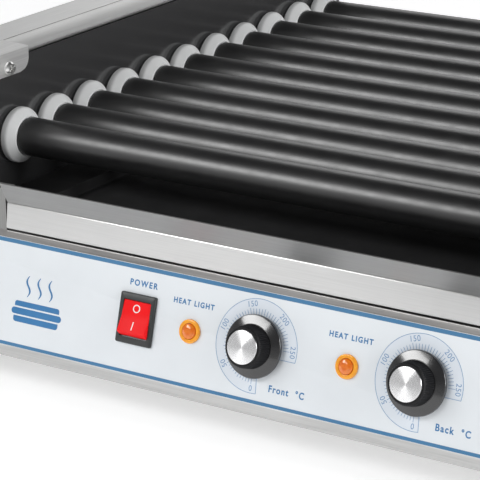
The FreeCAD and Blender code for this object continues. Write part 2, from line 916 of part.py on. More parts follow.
def make_sprocket(label, teeth, bore, hub, x, y, z):
    """Chain sprocket with a hub, teeth in the plane of the chain."""
    body = new_body(label, x, y, z)
    tooth_tip = pitch_radius(teeth) + 1.6
    plate = new_sketch(body, "YZ_Plane", -SPROCKET_THICKNESS / 2)
    draw_circle(plate, 0, 0, tooth_tip)
    pad(body, plate, SPROCKET_THICKNESS)
    cut_teeth(body, teeth)
    hub_start = -4.5
    hub_length = 10
    boss = new_sketch(body, "YZ_Plane", hub_start)
    draw_circle(boss, 0, 0, hub)
    pad(body, boss, hub_length)
    drill_across(body, [(0, 0)], bore)
    return body


def turn_body(body, degrees):
    """Turn a body about its own X axis."""
    body.Placement.Rotation = FreeCAD.Rotation(FreeCAD.Vector(1, 0, 0), degrees.value)
    bind(body, "Placement.Rotation.Angle", degrees)


def as_turn(distance, teeth):
    """Turn of a sprocket, in degrees, that goes with a distance along the chain."""
    return distance / pitch_radius(teeth) * (180 / math.pi)


def make_roller_sprocket(number):
    """Sprocket pressed on the neck of a roller, its gaps in step with the chain above it."""
    hub = 11.3
    body = make_sprocket(f"sprocket_{number + 1:02d}", dim["roller_teeth"], journal_radius, hub,
                         dim["chain_plane"], roller_depth(number), axis_height)
    if number > 0:
        travel = number * dim["roller_pitch"]
        turn_body(body, as_turn(remainder(travel, dim["chain_pitch"]), dim["roller_teeth"]))
    return body


MOTOR_SHAFT = 4


def make_motor_sprocket():
    """Sprocket of the motor, a gap turned to meet the chain at its lowest point."""
    teeth = dim["motor_teeth"]
    hub = 8.2
    body = make_sprocket("motor_sprocket", teeth, MOTOR_SHAFT, hub, dim["chain_plane"],
                         dim["bed_shift"], axis_height - dim["motor_drop"])
    gap_down = 342
    middle = remainder(bed_length / 2, dim["chain_pitch"])
    turn_body(body, gap_down + as_turn(middle, teeth))
    return body


def chain_tangent(offset):
    """Where a slanting strand leaves the first sprocket and meets the motor sprocket."""
    span = bed_length / 2
    drop = dim["motor_drop"]
    distance = root(span * span + drop * drop)
    first = pitch_radius(dim["roller_teeth"]) + offset
    motor = pitch_radius(dim["motor_teeth"]) + offset
    lean = (first - motor) / distance
    upright = root(1 - lean * lean)
    normal_y = (lean * span - upright * drop) / distance
    normal_z = -(lean * drop + upright * span) / distance
    leaves = (first * normal_y, first * normal_z)
    meets = (span + motor * normal_y, motor * normal_z - drop)
    return first, motor, leaves, meets


def chain_outline(sketch, offset):
    """Closed loop over the roller sprockets and round the motor sprocket below them."""
    first, motor, leaves, meets = chain_tangent(offset)
    draw_outline(sketch, [
        (0, first),
        leaves + (first,),
        meets,
        (bed_length - meets[0], meets[1], motor),
        (bed_length - leaves[0], leaves[1]),
        (bed_length, first, first),
    ])


def chain_pin_places():
    """Chain pins, one pitch apart, on the stretches that no sprocket reaches."""
    first, motor, leaves, meets = chain_tangent(0)
    pitch = dim["chain_pitch"].value
    length = bed_length.value
    places = []
    for step in range(int(length / pitch) + 1):
        places.append((step * pitch, first.value))
    strand = math.hypot(meets[0].value - leaves[0].value, meets[1].value - leaves[1].value)
    for step in range(1, int(strand / pitch)):
        along = step * pitch / strand
        across = leaves[0].value + along * (meets[0].value - leaves[0].value)
        up = leaves[1].value + along * (meets[1].value - leaves[1].value)
        places.append((across, up))
        places.append((length - across, up))
    centres = [(number * dim["roller_pitch"].value, 0) for number in ROLLERS]
    clear_of_teeth = 4.6
    reach = first.value + clear_of_teeth
    return [place for place in places
            if all(math.dist(place, centre) > reach for centre in centres)
            and math.dist(place, (length / 2, -dim["motor_drop"].value)) > reach]


def make_drive_chain():
    """Drive chain: its two rows of plates either side of the sprockets, joined by pins."""
    body = new_body("drive_chain", dim["chain_plane"], first_roller, axis_height)
    half_plate = 3.4
    inner = 1.8
    thickness = 1.6
    pin = 1.6
    for start in (-(inner + thickness), inner):
        sketch = new_sketch(body, "YZ_Plane", start)
        chain_outline(sketch, half_plate)
        chain_outline(sketch, -half_plate)
        pad(body, sketch, thickness)
    pins = new_sketch(body, "YZ_Plane")
    for across, up in chain_pin_places():
        draw_circle(pins, across, up, pin)
    pad(body, pins, 2 * (inner + thickness), "Symmetric")
    return body


def make_gear_motor():
    """Round gear motor on the inside of the right wall, its shaft above its middle."""
    body = new_body("gear_motor", half_bed, dim["bed_shift"], axis_height - dim["motor_drop"])
    can = 30
    sag = -11.5
    bore = MOTOR_SHAFT + dim["running_gap"]
    half_length = 20
    for start, length, hollow in ((-2 * half_length, half_length, False),
                                  (-half_length, half_length, True)):
        sketch = new_sketch(body, "YZ_Plane", start)
        draw_circle(sketch, 0, sag, can)
        if hollow:
            draw_circle(sketch, 0, 0, bore)
        pad(body, sketch, length)
    return body


def make_motor_shaft():
    """Output shaft of the gear motor, through the right wall into the motor sprocket."""
    body = new_body("motor_shaft", half_bed, dim["bed_shift"], axis_height - dim["motor_drop"])
    inside_motor = 19.5
    beyond_chain = 8
    sketch = new_sketch(body, "YZ_Plane", -inside_motor)
    draw_circle(sketch, 0, 0, MOTOR_SHAFT)
    pad(body, sketch, dim["chain_plane"] - half_bed + inside_motor + beyond_chain)
    return body


# ---------------------------------------------------------------- controls

BEZEL_DEPTH = 2
BEZEL = (12.65, 15.2)
SWITCH_OPENING = (10.3, 11.6)
SWITCH_DEPTH = 16
ROCKER_RADIUS = 11.3
ROCKER_PIVOT = -2
ROCKER_WIDTH = 20


def draw_upright(sketch, across, up, half):
    """Rectangle of two half sizes about a place on the panel."""
    draw_rectangle(sketch, (across - half[0], across + half[0]), (up - half[1], up + half[1]))


def make_switch_frame():
    """Bezel and body of the mains switch, open towards the cook for the rocker."""
    body = new_panel_body("switch_frame", dim["switch_place"])
    line = dim["control_line"]
    for half, depth, inwards in ((BEZEL, BEZEL_DEPTH, False), (SWITCH_BODY, SWITCH_DEPTH, True)):
        sketch = new_sketch(body, "XZ_Plane", OVERLAY_THICKNESS)
        draw_upright(sketch, 0, line, half)
        draw_upright(sketch, 0, line, SWITCH_OPENING)
        pad(body, sketch, depth, backwards=inwards)
    floor_thickness = 1.5
    floor = new_sketch(body, "XZ_Plane", OVERLAY_THICKNESS - SWITCH_DEPTH)
    draw_upright(floor, 0, line, SWITCH_BODY)
    pad(body, floor, floor_thickness, backwards=True)
    blade = (0.4, 3)
    blade_length = 9
    blades = new_sketch(body, "XZ_Plane", OVERLAY_THICKNESS - SWITCH_DEPTH - 1)
    for across in (-5, 5):
        for up in (-7, 7):
            draw_upright(blades, across, line + up, blade)
    pad(body, blades, blade_length, backwards=True)
    return body


def make_switch_rocker():
    """Rocker at rest with its upper half pressed in and its lower half out."""
    body = new_panel_body("switch_rocker", dim["switch_place"])
    sketch = new_sketch(body, "YZ_Plane")
    throw = dim["rocker_throw"]

    def rocked(along, out):
        up = along * cosine(throw) + out * sine(throw)
        outwards = out * cosine(throw) - along * sine(throw)
        return (-(outwards + ROCKER_PIVOT), dim["control_line"] + up)

    def on_rim(angle):
        return (ROCKER_RADIUS * math.cos(math.radians(angle)),
                ROCKER_RADIUS * math.sin(math.radians(angle)))

    rim = on_rim(32)
    base = on_rim(-25)
    dip = 1.1
    draw_outline(sketch, [
        rocked(base[0], base[1]),
        rocked(rim[0], rim[1]) + (ROCKER_RADIUS,),
        rocked(0, rim[1] - dip),
        rocked(-rim[0], rim[1]),
        rocked(-base[0], base[1]) + (ROCKER_RADIUS,),
    ])
    pad(body, sketch, ROCKER_WIDTH, "Symmetric")
    return body


def make_indicator_lamps():
    """Two round heat lamps: a flange and a low dome outside, a barrel behind the panel."""
    body = new_panel_body("indicator_lamps")
    flange = (7.2, 1.4)
    dome = (4.4, 1.6)
    barrel = (LAMP_BARREL, 20)
    for (radius, depth), start, inwards in (
            (flange, OVERLAY_THICKNESS, False),
            (dome, OVERLAY_THICKNESS + flange[1], False),
            (barrel, OVERLAY_THICKNESS, True)):
        sketch = new_sketch(body, "XZ_Plane", start)
        for dial in (dim["front_dial"], back_dial):
            draw_circle(sketch, dial + dim["lamp_offset"], dim["control_line"], radius)
        pad(body, sketch, depth, backwards=inwards)
    return body


SHAFT_RADIUS = 3


def make_thermostats():
    """Two thermostat bodies behind the panel, each with a bore for its knob's shaft."""
    body = new_panel_body("thermostats")
    half = (17, 17)
    line = dim["control_line"]
    face = -1.1
    bored = 10
    for start, depth, hollow in ((face, bored, True), (face - bored, 12, False)):
        sketch = new_sketch(body, "XZ_Plane", start)
        for dial in (dim["front_dial"], back_dial):
            draw_upright(sketch, dial, line, half)
            if hollow:
                draw_circle(sketch, dial, line, SHAFT_RADIUS + dim["running_gap"])
        pad(body, sketch, depth, backwards=True)
    return body


def make_thermostat_shaft(name, dial):
    body = new_panel_body(name + "_thermostat_shaft", dial)
    inside = 10
    sketch = new_sketch(body, "XZ_Plane", -inside)
    draw_circle(sketch, 0, dim["control_line"], SHAFT_RADIUS)
    pad(body, sketch, inside + KNOB_BORE)
    return body


KNOB_BORE = 9
CAP_THICKNESS = 0.8


def make_knob(name, dial):
    """Control knob with a wide skirt, bored from behind for the shaft."""
    body = new_panel_body(name + "_knob", dial)
    line = dim["control_line"]
    gap = 1.6
    skirt = 18.5
    skirt_top = 4.4
    grip = 12.6
    top = dim["cap_face"] - CAP_THICKNESS
    for radius, start, end, hollow in (
            (skirt, gap, skirt_top, True), (grip, skirt_top, KNOB_BORE, True),
            (grip, KNOB_BORE, top, False)):
        sketch = new_sketch(body, "XZ_Plane", start)
        draw_circle(sketch, 0, line, radius)
        if hollow:
            draw_circle(sketch, 0, line, SHAFT_RADIUS)
        pad(body, sketch, end - start)
    return body


def make_knob_cap(name, dial):
    """Thin turned metal disc on the face of a knob."""
    body = new_panel_body(name + "_knob_cap", dial)
    sketch = new_sketch(body, "XZ_Plane", dim["cap_face"] - CAP_THICKNESS)
    draw_circle(sketch, 0, dim["control_line"], dim["cap_radius"])
    pad(body, sketch, CAP_THICKNESS)
    return body


def make_terminal_block():
    """Block on the base pan that joins the mains cable to the wiring."""
    body = new_body("terminal_block")
    floor = foot + metal
    base_top = floor + 8
    left = -205
    front = 190
    length = 48
    width = 22
    block(body, (left, left + length), (front, front + width), (floor, base_top))
    inset = 4
    ways = 5
    way = 7.4
    pitch = 9.6
    for number in range(ways):
        start = left + 1 + pitch * number
        block(body, (start, start + way), (front + inset, front + width - inset),
              (base_top, base_top + 10))
    return body


# ---------------------------------------------------------------- drip tray

def make_drip_tray():
    """Shallow drawer under the rollers with a folded pull lip across its front."""
    body = new_body("drip_tray")
    skin = dim["tray_sheet"]
    floor = dim["tray_floor"]
    crease = dim["lip_crease"]
    top = dim["lip_top"]
    front = fascia - 1.2
    face = fascia + 0.8
    rear = rear_panel_face - metal - 4
    rim = floor + dim["tray_depth"]
    sketch = new_sketch(body, "YZ_Plane")
    draw_outline(sketch, [
        (front, floor),
        (rear, floor),
        (rear, rim),
        (rear - skin, rim),
        (rear - skin, floor + skin),
        (front + skin + 0.1, floor + skin),
        (face + skin, crease),
        (face - dim["lip_flare"] + skin, top),
        (face - dim["lip_flare"], top),
        (face, crease),
    ])
    pad(body, sketch, dim["tray_width"], "Symmetric")
    half = dim["tray_width"] / 2
    for side in (-1, 1):
        block(body, mirrored(side, half - skin, half), (front + skin, rear), (floor, rim))
    return body


def make_tray_rails():
    """Black ledge beside the tray on each side, stepped down to a rail under its edge."""
    body = new_body("tray_rails")
    ledge = 103
    rail_top = dim["tray_floor"] - 0.3
    web = dim["tray_width"] / 2 + 2
    span = (fascia + 1.2, rear_panel_face - metal - 1)
    for side in (-1, 1):
        block(body, mirrored(side, web, half_bed - 0.05), span, (ledge - 1, ledge))
        block(body, mirrored(side, web, web + 1), span, (rail_top - 1, ledge))
        block(body, mirrored(side, web - 16, web), span, (rail_top - 1, rail_top))
    return body


# ---------------------------------------------------------------- build, check and export

def make_everything():
    parts = [make_base_pan(), make_feet(), make_control_panel(), make_panel_overlay(),
             make_rear_panel(), make_cable_gland(), make_terminal_block(), make_screws(),
             make_heating_elements(), make_drive_chain(), make_gear_motor(), make_motor_shaft(),
             make_motor_sprocket(), make_switch_frame(), make_switch_rocker(),
             make_indicator_lamps(), make_thermostats(), make_drip_tray(), make_tray_rails()]
    for side in (-1, 1):
        parts += [make_inner_wall(side), make_cover(side), make_front_cap(side),
                  make_rear_cap(side), make_bushes(side), make_element_bracket(side)]
    for name, dial in (("front", dim["front_dial"]), ("back", back_dial)):
        parts += [make_knob(name, dial), make_knob_cap(name, dial),
                  make_thermostat_shaft(name, dial)]
    for number in ROLLERS:
        parts += [make_roller(number), make_roller_sprocket(number)]
    return parts


def check_everything(parts):
    for item in doc.Objects:
        if "Invalid" in item.State or "Error" in item.State:
            raise RuntimeError(f"{item.Label} did not recompute: {item.State}")
    for part in parts:
        if part.Shape.isNull() or not part.Shape.isValid():
            raise RuntimeError(f"{part.Label} has no valid shape")


def export_everything(parts):
    os.makedirs("parts", exist_ok=True)
    for part in parts:
        part.Shape.exportStep(f"parts/{part.Label}.step")


all_parts = make_everything()
doc.recompute()
check_everything(all_parts)
export_everything(all_parts)
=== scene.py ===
import json
import math
import bmesh
import bpy
from mathutils import Matrix, Vector


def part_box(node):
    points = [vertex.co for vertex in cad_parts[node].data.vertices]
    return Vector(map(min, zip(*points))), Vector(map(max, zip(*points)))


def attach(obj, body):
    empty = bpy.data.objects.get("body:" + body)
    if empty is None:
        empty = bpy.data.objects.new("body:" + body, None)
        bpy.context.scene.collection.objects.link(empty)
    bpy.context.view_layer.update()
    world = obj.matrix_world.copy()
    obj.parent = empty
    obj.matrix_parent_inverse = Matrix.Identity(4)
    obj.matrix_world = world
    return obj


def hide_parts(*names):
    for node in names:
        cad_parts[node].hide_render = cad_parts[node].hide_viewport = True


# Hot dog roller grill: detailed sheet metal, rollers, controls and printed panel around the CAD
# frame. Metres, +Z up, -Y towards the cook. Lengths written in millimetres are multiplied by MM.

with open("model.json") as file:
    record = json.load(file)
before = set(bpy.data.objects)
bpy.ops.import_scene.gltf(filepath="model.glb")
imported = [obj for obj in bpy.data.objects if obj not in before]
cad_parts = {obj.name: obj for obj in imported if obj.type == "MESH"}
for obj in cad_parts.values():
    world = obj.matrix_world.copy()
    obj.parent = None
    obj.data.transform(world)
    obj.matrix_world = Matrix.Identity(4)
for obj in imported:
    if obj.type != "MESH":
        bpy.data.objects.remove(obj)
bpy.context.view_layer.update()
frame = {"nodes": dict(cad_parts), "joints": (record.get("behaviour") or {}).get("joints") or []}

MM = 0.001
FLAT = Matrix.Identity(4)
TURN = 2 * math.pi
ROLLER_COUNT = 11
SIDES = (("left", -1), ("right", 1))


def mm(*corners):
    """Corners written in millimetres, in metres."""
    return [tuple(value * MM for value in corner) for corner in corners]


def polar(radius, turn):
    """Flat point at a radius and an angle."""
    return radius * math.cos(turn), radius * math.sin(turn)


# ---- places read from the frame


def joint(name):
    return next(item for item in frame["joints"] if item["name"] == name)


def span(node, axis):
    """Lowest and highest place of a CAD node along an axis."""
    low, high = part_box(node)
    return low[axis], high[axis]


X, Y, Z = 0, 1, 2
HOOK_X, HALF_WIDTH = span("right_cover", X)
CHEEK_TOP = span("right_cover", Z)[1]
COVER_REAR = span("right_cover", Y)[1]
WALL_X, WALL_OUTSIDE = span("right_inner_wall", X)
WALL_TOP = span("right_inner_wall", Z)[1]
CASING_LOW, FASCIA_TOP = span("control_panel", Z)
PANEL_FRONT = span("control_panel", Y)[0]
FASCIA, TAB_REAR = span("right_front_cap", Y)
TAB_X = span("right_front_cap", X)[0]
TAB_TOP = span("right_front_cap", Z)[1]
CAP_REAR = span("right_rear_cap", Y)[1]
METAL = WALL_OUTSIDE - WALL_X
ROLLER_Z = joint("roller_01_spin")["pos_m"][Z]
ROLLER_Y = [joint(f"roller_{number:02d}_spin")["pos_m"][Y]
            for number in range(1, ROLLER_COUNT + 1)]

INWARD = Vector(joint("front_knob_turn")["axis"]).normalized()
OUTWARD = -INWARD
UP_SLOPE = Vector((0, OUTWARD.z, -OUTWARD.y))
PANEL_BASE = Vector((0, PANEL_FRONT, CASING_LOW))
PANEL_TOP = CASING_LOW + (FASCIA - PANEL_FRONT) * UP_SLOPE.z / UP_SLOPE.y
SLOPE_LENGTH = (FASCIA - PANEL_FRONT) / UP_SLOPE.y
CONTROL_LINE = (Vector(joint("front_knob_turn")["pos_m"]) - PANEL_BASE).dot(UP_SLOPE)
DIALS = {name: joint(f"{name}_knob_turn")["pos_m"][X] for name in ("front", "back")}
SWITCH_X = joint("power_rocker")["pos_m"][X]
LAMP_OFFSET = -46 * MM
OVERLAY_FACE = 0.4 * MM

PANEL_TURN = Matrix((Vector((1, 0, 0)), UP_SLOPE, OUTWARD)).transposed()


def on_panel(across, up, out=0.0):
    """Place on the sloped panel: local X right, local Y up the slope, local Z out."""
    place = PANEL_BASE + Vector((across, 0, 0)) + UP_SLOPE * up + OUTWARD * out
    return Matrix.Translation(place) @ PANEL_TURN.to_4x4()


# ---- camera, light and floor

CAMERA_PLACE = Vector((0.70206, -1.29155, 0.56145))
CAMERA_AZIMUTH = math.radians(33.36)
CAMERA_ELEVATION = math.radians(18.89)
CAMERA_ROLL = math.radians(-0.83)
CAMERA_LENS = 176.7
CAMERA_SENSOR = 36
CAMERA_REACH = 50


def add_object(name, data):
    """New object in the scene."""
    item = bpy.data.objects.new(name, data)
    bpy.context.scene.collection.objects.link(item)
    return item


def make_camera():
    data = bpy.data.cameras.new("camera")
    data.lens = CAMERA_LENS
    data.sensor_width = CAMERA_SENSOR
    data.clip_end = CAMERA_REACH
    camera = add_object("camera", data)
    turn = (Matrix.Rotation(CAMERA_AZIMUTH, 4, "Z")
            @ Matrix.Rotation(math.pi / 2 - CAMERA_ELEVATION, 4, "X")
            @ Matrix.Rotation(CAMERA_ROLL, 4, "Z"))
    camera.matrix_world = Matrix.Translation(CAMERA_PLACE) @ turn
    bpy.context.scene.camera = camera


# Soft boxes: name, place, (width, height) in metres and power in watts.
BOXES = (
    ("key_box", (-1.43, -2.09, 1.7), (2.1, 0.75), 47),
    ("right_box", (2.6, -0.3, 0.9), (1.0, 1.4), 62),
    ("back_box", (-0.6, 2.2, 1.6), (2.0, 1.0), 10),
)
LIGHT_AIM = Vector((0, 0, 0.1))


def make_box(name, place, size, power):
    """Soft box that faces the middle of the grill."""
    data = bpy.data.lights.new(name, "AREA")
    data.shape = "RECTANGLE"
    data.size, data.size_y = size
    data.energy = power
    light = add_object(name, data)
    light.location = place
    light.rotation_euler = (LIGHT_AIM - Vector(place)).to_track_quat("-Z", "Y").to_euler()


# Brightness of the studio walls, from the horizon (0) to straight up (1).
SKY = ((0.0, 0.5), (0.12, 0.5), (0.3, 0.24), (0.5, 0.24), (0.7, 0.06))


def make_world():
    """Studio walls that fade from a pale horizon to a dim ceiling."""
    world = bpy.data.worlds.new("studio")
    bpy.context.scene.world = world
    world.use_nodes = True
    tree = world.node_tree
    back = tree.nodes["Background"]
    place = tree.nodes.new("ShaderNodeTexCoord")
    split = tree.nodes.new("ShaderNodeSeparateXYZ")
    ramp = tree.nodes.new("ShaderNodeValToRGB")
    tree.links.new(place.outputs["Generated"], split.inputs[0])
    tree.links.new(split.outputs["Z"], ramp.inputs["Fac"])
    tree.links.new(ramp.outputs["Color"], back.inputs["Color"])
    while len(ramp.color_ramp.elements) < len(SKY):
        ramp.color_ramp.elements.new(1.0)
    for stop, (height, level) in zip(ramp.color_ramp.elements, SKY):
        stop.position = height
        stop.color = (level, level, level * 1.01, 1)


def make_floor():
    """Plain pale floor that curves up into a backdrop far behind the grill."""
    reach = 6.0
    bend = 1.5
    rise = 3.0
    steps = 16
    glow = 0.45
    line = [(-reach, 0.0)]
    line += [(reach - bend + bend * math.sin(turn), bend - bend * math.cos(turn))
             for turn in sweep(0, math.pi / 2, steps)]
    line.append((reach, rise))
    build = bmesh.new()
    skin(build, line, lambda u, v: (-reach, reach), drawn_along_x)
    for face in build.faces:
        face.smooth = True
    surface = Surface("studio_floor", (0.86, 0.86, 0.865), roughness=0.7)
    surface.set("Emission Color", (1, 1, 1, 1))
    surface.set("Emission Strength", glow)
    floor = add_mesh("studio_floor", build, surface.material)


def light_scene():
    make_world()
    for box in BOXES:
        make_box(*box)
    bpy.context.scene.view_settings.view_transform = "Standard"


# ---- materials

class Surface:
    """A Principled material built from noise in object coordinates, in metres."""

    def __init__(self, name, colour, metallic=0.0, roughness=0.5, specular=0.5):
        self.material = bpy.data.materials.new(name)
        self.material.use_nodes = True
        self.nodes = self.material.node_tree.nodes
        self.links = self.material.node_tree.links
        self.shader = self.nodes["Principled BSDF"]
        self.set("Base Color", (*colour, 1))
        self.set("Metallic", metallic)
        self.set("Roughness", roughness)
        self.set("Specular IOR Level", specular)
        self.place = self.add("TexCoord").outputs["Object"]
        self.height = None

    def add(self, kind):
        return self.nodes.new("ShaderNode" + kind)

    def set(self, socket, value):
        self.shader.inputs[socket].default_value = value

    def noise(self, per_metre, detail=3.0, roughness=0.55):
        """Noise with so many features to the metre along X, Y and Z."""
        stretch = self.add("Mapping")
        stretch.inputs["Scale"].default_value = per_metre
        pattern = self.add("TexNoise")
        pattern.inputs["Scale"].default_value = 1.0
        pattern.inputs["Detail"].default_value = detail
        pattern.inputs["Roughness"].default_value = roughness
        self.links.new(self.place, stretch.inputs["Vector"])
        self.links.new(stretch.outputs["Vector"], pattern.inputs["Vector"])
        return pattern.outputs["Fac"]

    def level(self, factor, low, high):
        """A number that goes from low to high over the middle of the factor's range."""
        reach = self.add("MapRange")
        limits = {"From Min": 0.3, "From Max": 0.7, "To Min": low, "To Max": high}
        for socket, value in limits.items():
            reach.inputs[socket].default_value = value
        self.links.new(factor, reach.inputs["Value"])
        return reach.outputs["Result"]

    def colours(self, factor, low, high):
        mix = self.add("Mix")
        mix.data_type = "RGBA"
        mix.inputs["A"].default_value = (*low, 1)
        mix.inputs["B"].default_value = (*high, 1)
        self.links.new(self.level(factor, 0, 1), mix.inputs["Factor"])
        return mix.outputs["Result"]

    def connect(self, output, socket):
        self.links.new(output, self.shader.inputs[socket])

    def bump(self, height, depth, strength):
        """Bump so many metres deep, on top of any bump that is there."""
        node = self.add("Bump")
        node.inputs["Distance"].default_value = depth
        node.inputs["Strength"].default_value = strength
        self.links.new(height, node.inputs["Height"])
        if self.height is not None:
            self.links.new(self.height, node.inputs["Normal"])
        self.height = node.outputs["Normal"]
        self.links.new(self.height, self.shader.inputs["Normal"])


def brushed(name, tone, roughness, grain, contrast=1.0):
    """Brushed sheet: streaks along one axis, fine scratches and faint wide smudges."""
    across = 1500.0
    along = 22.0
    spread = 0.075 * contrast
    drift = 0.04 * contrast
    stretch = [across] * 3
    stretch[grain] = along
    fine = [across * 3.2] * 3
    fine[grain] = along * 2.5
    surface = Surface(name, tone, metallic=1.0, roughness=roughness)
    streaks = surface.noise(stretch, detail=4.0, roughness=0.6)
    dark = [channel * (1 - 0.14 * contrast) for channel in tone]
    light = [min(channel * (1 + 0.1 * contrast), 1.0) for channel in tone]
    surface.connect(surface.colours(streaks, dark, light), "Base Color")
    smudge = surface.noise((14, 14, 14), detail=2.0)
    uneven = surface.add("Math")
    uneven.operation = "ADD"
    gloss = surface.level(streaks, roughness - spread, roughness + spread)
    surface.links.new(gloss, uneven.inputs[0])
    surface.links.new(surface.level(smudge, -drift, drift), uneven.inputs[1])
    surface.connect(uneven.outputs[0], "Roughness")
    surface.bump(surface.noise(fine, detail=2.0), 0.02 * MM, 0.5)
    surface.bump(streaks, 0.03 * MM, 0.35)
    facing = surface.add("NewGeometry").outputs["Normal"]
    across_grain = surface.add("VectorMath")
    across_grain.operation = "CROSS_PRODUCT"
    surface.links.new(facing, across_grain.inputs[0])
    across_grain.inputs[1].default_value = [float(axis == grain) for axis in (X, Y, Z)]
    surface.connect(across_grain.outputs[0], "Tangent")
    surface.set("Anisotropic", 0.6)
    return surface.material


def moulded(name, dark, light, roughness, texture, depth,
            specular=0.5, coat=0.0, index=1.5, metallic=0.0):
    """Moulded, coated or painted surface: two close tones, a fine texture and uneven gloss."""
    surface = Surface(name, light, metallic, roughness[0], specular)
    cloud = surface.noise((30, 30, 30), detail=4.0)
    surface.connect(surface.colours(cloud, dark, light), "Base Color")
    grain = surface.noise((texture, texture, texture), detail=2.0)
    surface.connect(surface.level(surface.noise((90, 90, 90)), *roughness), "Roughness")
    surface.bump(grain, depth, 0.6)
    surface.set("IOR", index)
    surface.set("Coat Weight", coat)
    surface.set("Coat Roughness", 0.08)
    return surface.material


def printed(name, dark, light, roughness=(0.3, 0.4)):
    """Smooth film or ink on the control panel."""
    return moulded(name, dark, light, roughness, 2600, 0.008 * MM)


def lamp_plastic(name, dark, light, glow):
    """Clear amber plastic with a soft inner glow."""
    surface = Surface(name, light, roughness=0.12)
    cloud = surface.noise((400, 400, 400), detail=2.0)
    surface.connect(surface.colours(cloud, dark, light), "Base Color")
    surface.set("Subsurface Weight", 0.35)
    surface.set("Subsurface Radius", (1.0, 0.5, 0.1))
    surface.set("Subsurface Scale", 2 * MM)
    surface.set("Coat Weight", 0.6)
    surface.set("Coat Roughness", 0.05)
    surface.set("Emission Color", (*light, 1))
    surface.set("Emission Strength", glow)
    surface.bump(cloud, 0.03 * MM, 0.4)
    return surface.material


def spun_metal(name, tone):
    """Turned disc face: rings of fine grooves round the local Z axis."""
    surface = Surface(name, tone, metallic=1.0, roughness=0.26)
    split = surface.add("SeparateXYZ")
    surface.links.new(surface.place, split.inputs[0])
    flat = surface.add("CombineXYZ")
    surface.links.new(split.outputs["X"], flat.inputs["X"])
    surface.links.new(split.outputs["Y"], flat.inputs["Y"])
    far = surface.add("VectorMath")
    far.operation = "LENGTH"
    surface.links.new(flat.outputs[0], far.inputs[0])
    rings = surface.add("TexNoise")
    rings.noise_dimensions = "1D"
    rings.inputs["Scale"].default_value = 5200
    rings.inputs["Detail"].default_value = 2
    surface.links.new(far.outputs["Value"], rings.inputs["W"])
    surface.connect(surface.level(rings.outputs["Fac"], 0.2, 0.34), "Roughness")
    surface.bump(rings.outputs["Fac"], 0.02 * MM, 0.4)
    surface.set("Anisotropic", 0.85)
    surface.set("Anisotropic Rotation", 0.25)
    tangent = surface.add("Tangent")
    tangent.direction_type = "RADIAL"
    tangent.axis = "Z"
    surface.connect(tangent.outputs[0], "Tangent")
    return surface.material


STEEL = (0.60, 0.60, 0.595)
steel_x = brushed("brushed_steel_across", STEEL, 0.34, X)
steel_y = brushed("brushed_steel_along", STEEL, 0.38, Y)
steel_z = brushed("brushed_steel_upright", STEEL, 0.36, Z)
tab_steel = brushed("satin_steel", (0.80, 0.80, 0.795), 0.62, Y, contrast=0.6)
# Darker copy of the steel for the lip's upper strip: painted shade.
lip_shade_steel = brushed("brushed_steel_lip_shade", (0.32, 0.32, 0.318), 0.36, X, contrast=0.5)
face_steel = brushed("brushed_steel_fine", STEEL, 0.36, X, contrast=0.4)
roll_steel = brushed("brushed_steel_roll", (0.62, 0.62, 0.615), 0.5, Y, contrast=0.6)
# Slightly darker copy of the steel for the panel's bottom hem: painted shade.
hem_shade_steel = brushed("brushed_steel_hem_shade", (0.5, 0.5, 0.495), 0.36, X, contrast=0.6)
# Dark copy of the steel for the panel's top border and bend and for the cover seam: painted shade.
bend_shade_steel = brushed("brushed_steel_bend_shade", (0.22, 0.215, 0.21), 0.34, X, contrast=0.6)
# Darker copy of the steel for the upright fascia: painted shade.
fascia_shade_steel = brushed("brushed_steel_fascia_shade", (0.27, 0.27, 0.265), 0.36, Z)
plate_steel = brushed("brushed_steel_plate", (0.42, 0.42, 0.415), 0.46, Z)
pan_steel = brushed("casing_steel", (0.46, 0.46, 0.455), 0.42, X)
bright_steel = moulded("screw_steel", (0.74, 0.74, 0.74), (0.88, 0.88, 0.87), (0.26, 0.36),
                       900, 0.02 * MM, metallic=1.0)
dull_steel = moulded("drive_steel", (0.22, 0.21, 0.2), (0.36, 0.35, 0.34), (0.3, 0.5),
                     700, 0.03 * MM, metallic=1.0)
rod_steel = moulded("element_steel", (0.3, 0.27, 0.24), (0.42, 0.4, 0.37), (0.35, 0.5),
                    600, 0.03 * MM, metallic=1.0)
black_enamel = moulded("black_enamel", (0.034, 0.034, 0.035), (0.037, 0.037, 0.038),
                       (0.15, 0.18), 1400, 0.004 * MM, specular=1.0, index=1.75)
tray_enamel = moulded("tray_enamel", (0.028, 0.028, 0.029), (0.04, 0.04, 0.041), (0.3, 0.4),
                      1200, 0.02 * MM)
roller_coating = moulded("roller_coating", (0.004, 0.004, 0.0045), (0.007, 0.007, 0.0075),
                         (0.35, 0.42), 1500, 0.06 * MM, index=1.85)
bush_polymer = moulded("bush_polymer", (0.66, 0.67, 0.67), (0.76, 0.77, 0.77), (0.42, 0.55),
                       1100, 0.05 * MM)
film = printed("overlay_film", (0.715, 0.75, 0.78), (0.745, 0.78, 0.81), (0.36, 0.44))
stripe_blue = printed("print_blue", (0.05, 0.18, 0.34), (0.058, 0.20, 0.38))
dial_blue = printed("print_pale_blue", (0.69, 0.74, 0.80), (0.72, 0.77, 0.83))
scale_blue = printed("print_scale", (0.12, 0.26, 0.46), (0.16, 0.31, 0.52))
letter_blue = printed("print_letters", (0.03, 0.16, 0.36), (0.04, 0.19, 0.42))
switch_plastic = moulded("switch_plastic", (0.016, 0.018, 0.018), (0.03, 0.033, 0.033),
                         (0.38, 0.5), 1800, 0.04 * MM)
rocker_red = moulded("rocker_red", (0.84, 0.01, 0.012), (0.92, 0.016, 0.02), (0.36, 0.44),
                     700, 0.02 * MM, specular=0.08)
mark_white = moulded("mark_white", (0.78, 0.76, 0.75), (0.86, 0.84, 0.83), (0.35, 0.45),
                     1500, 0.01 * MM)
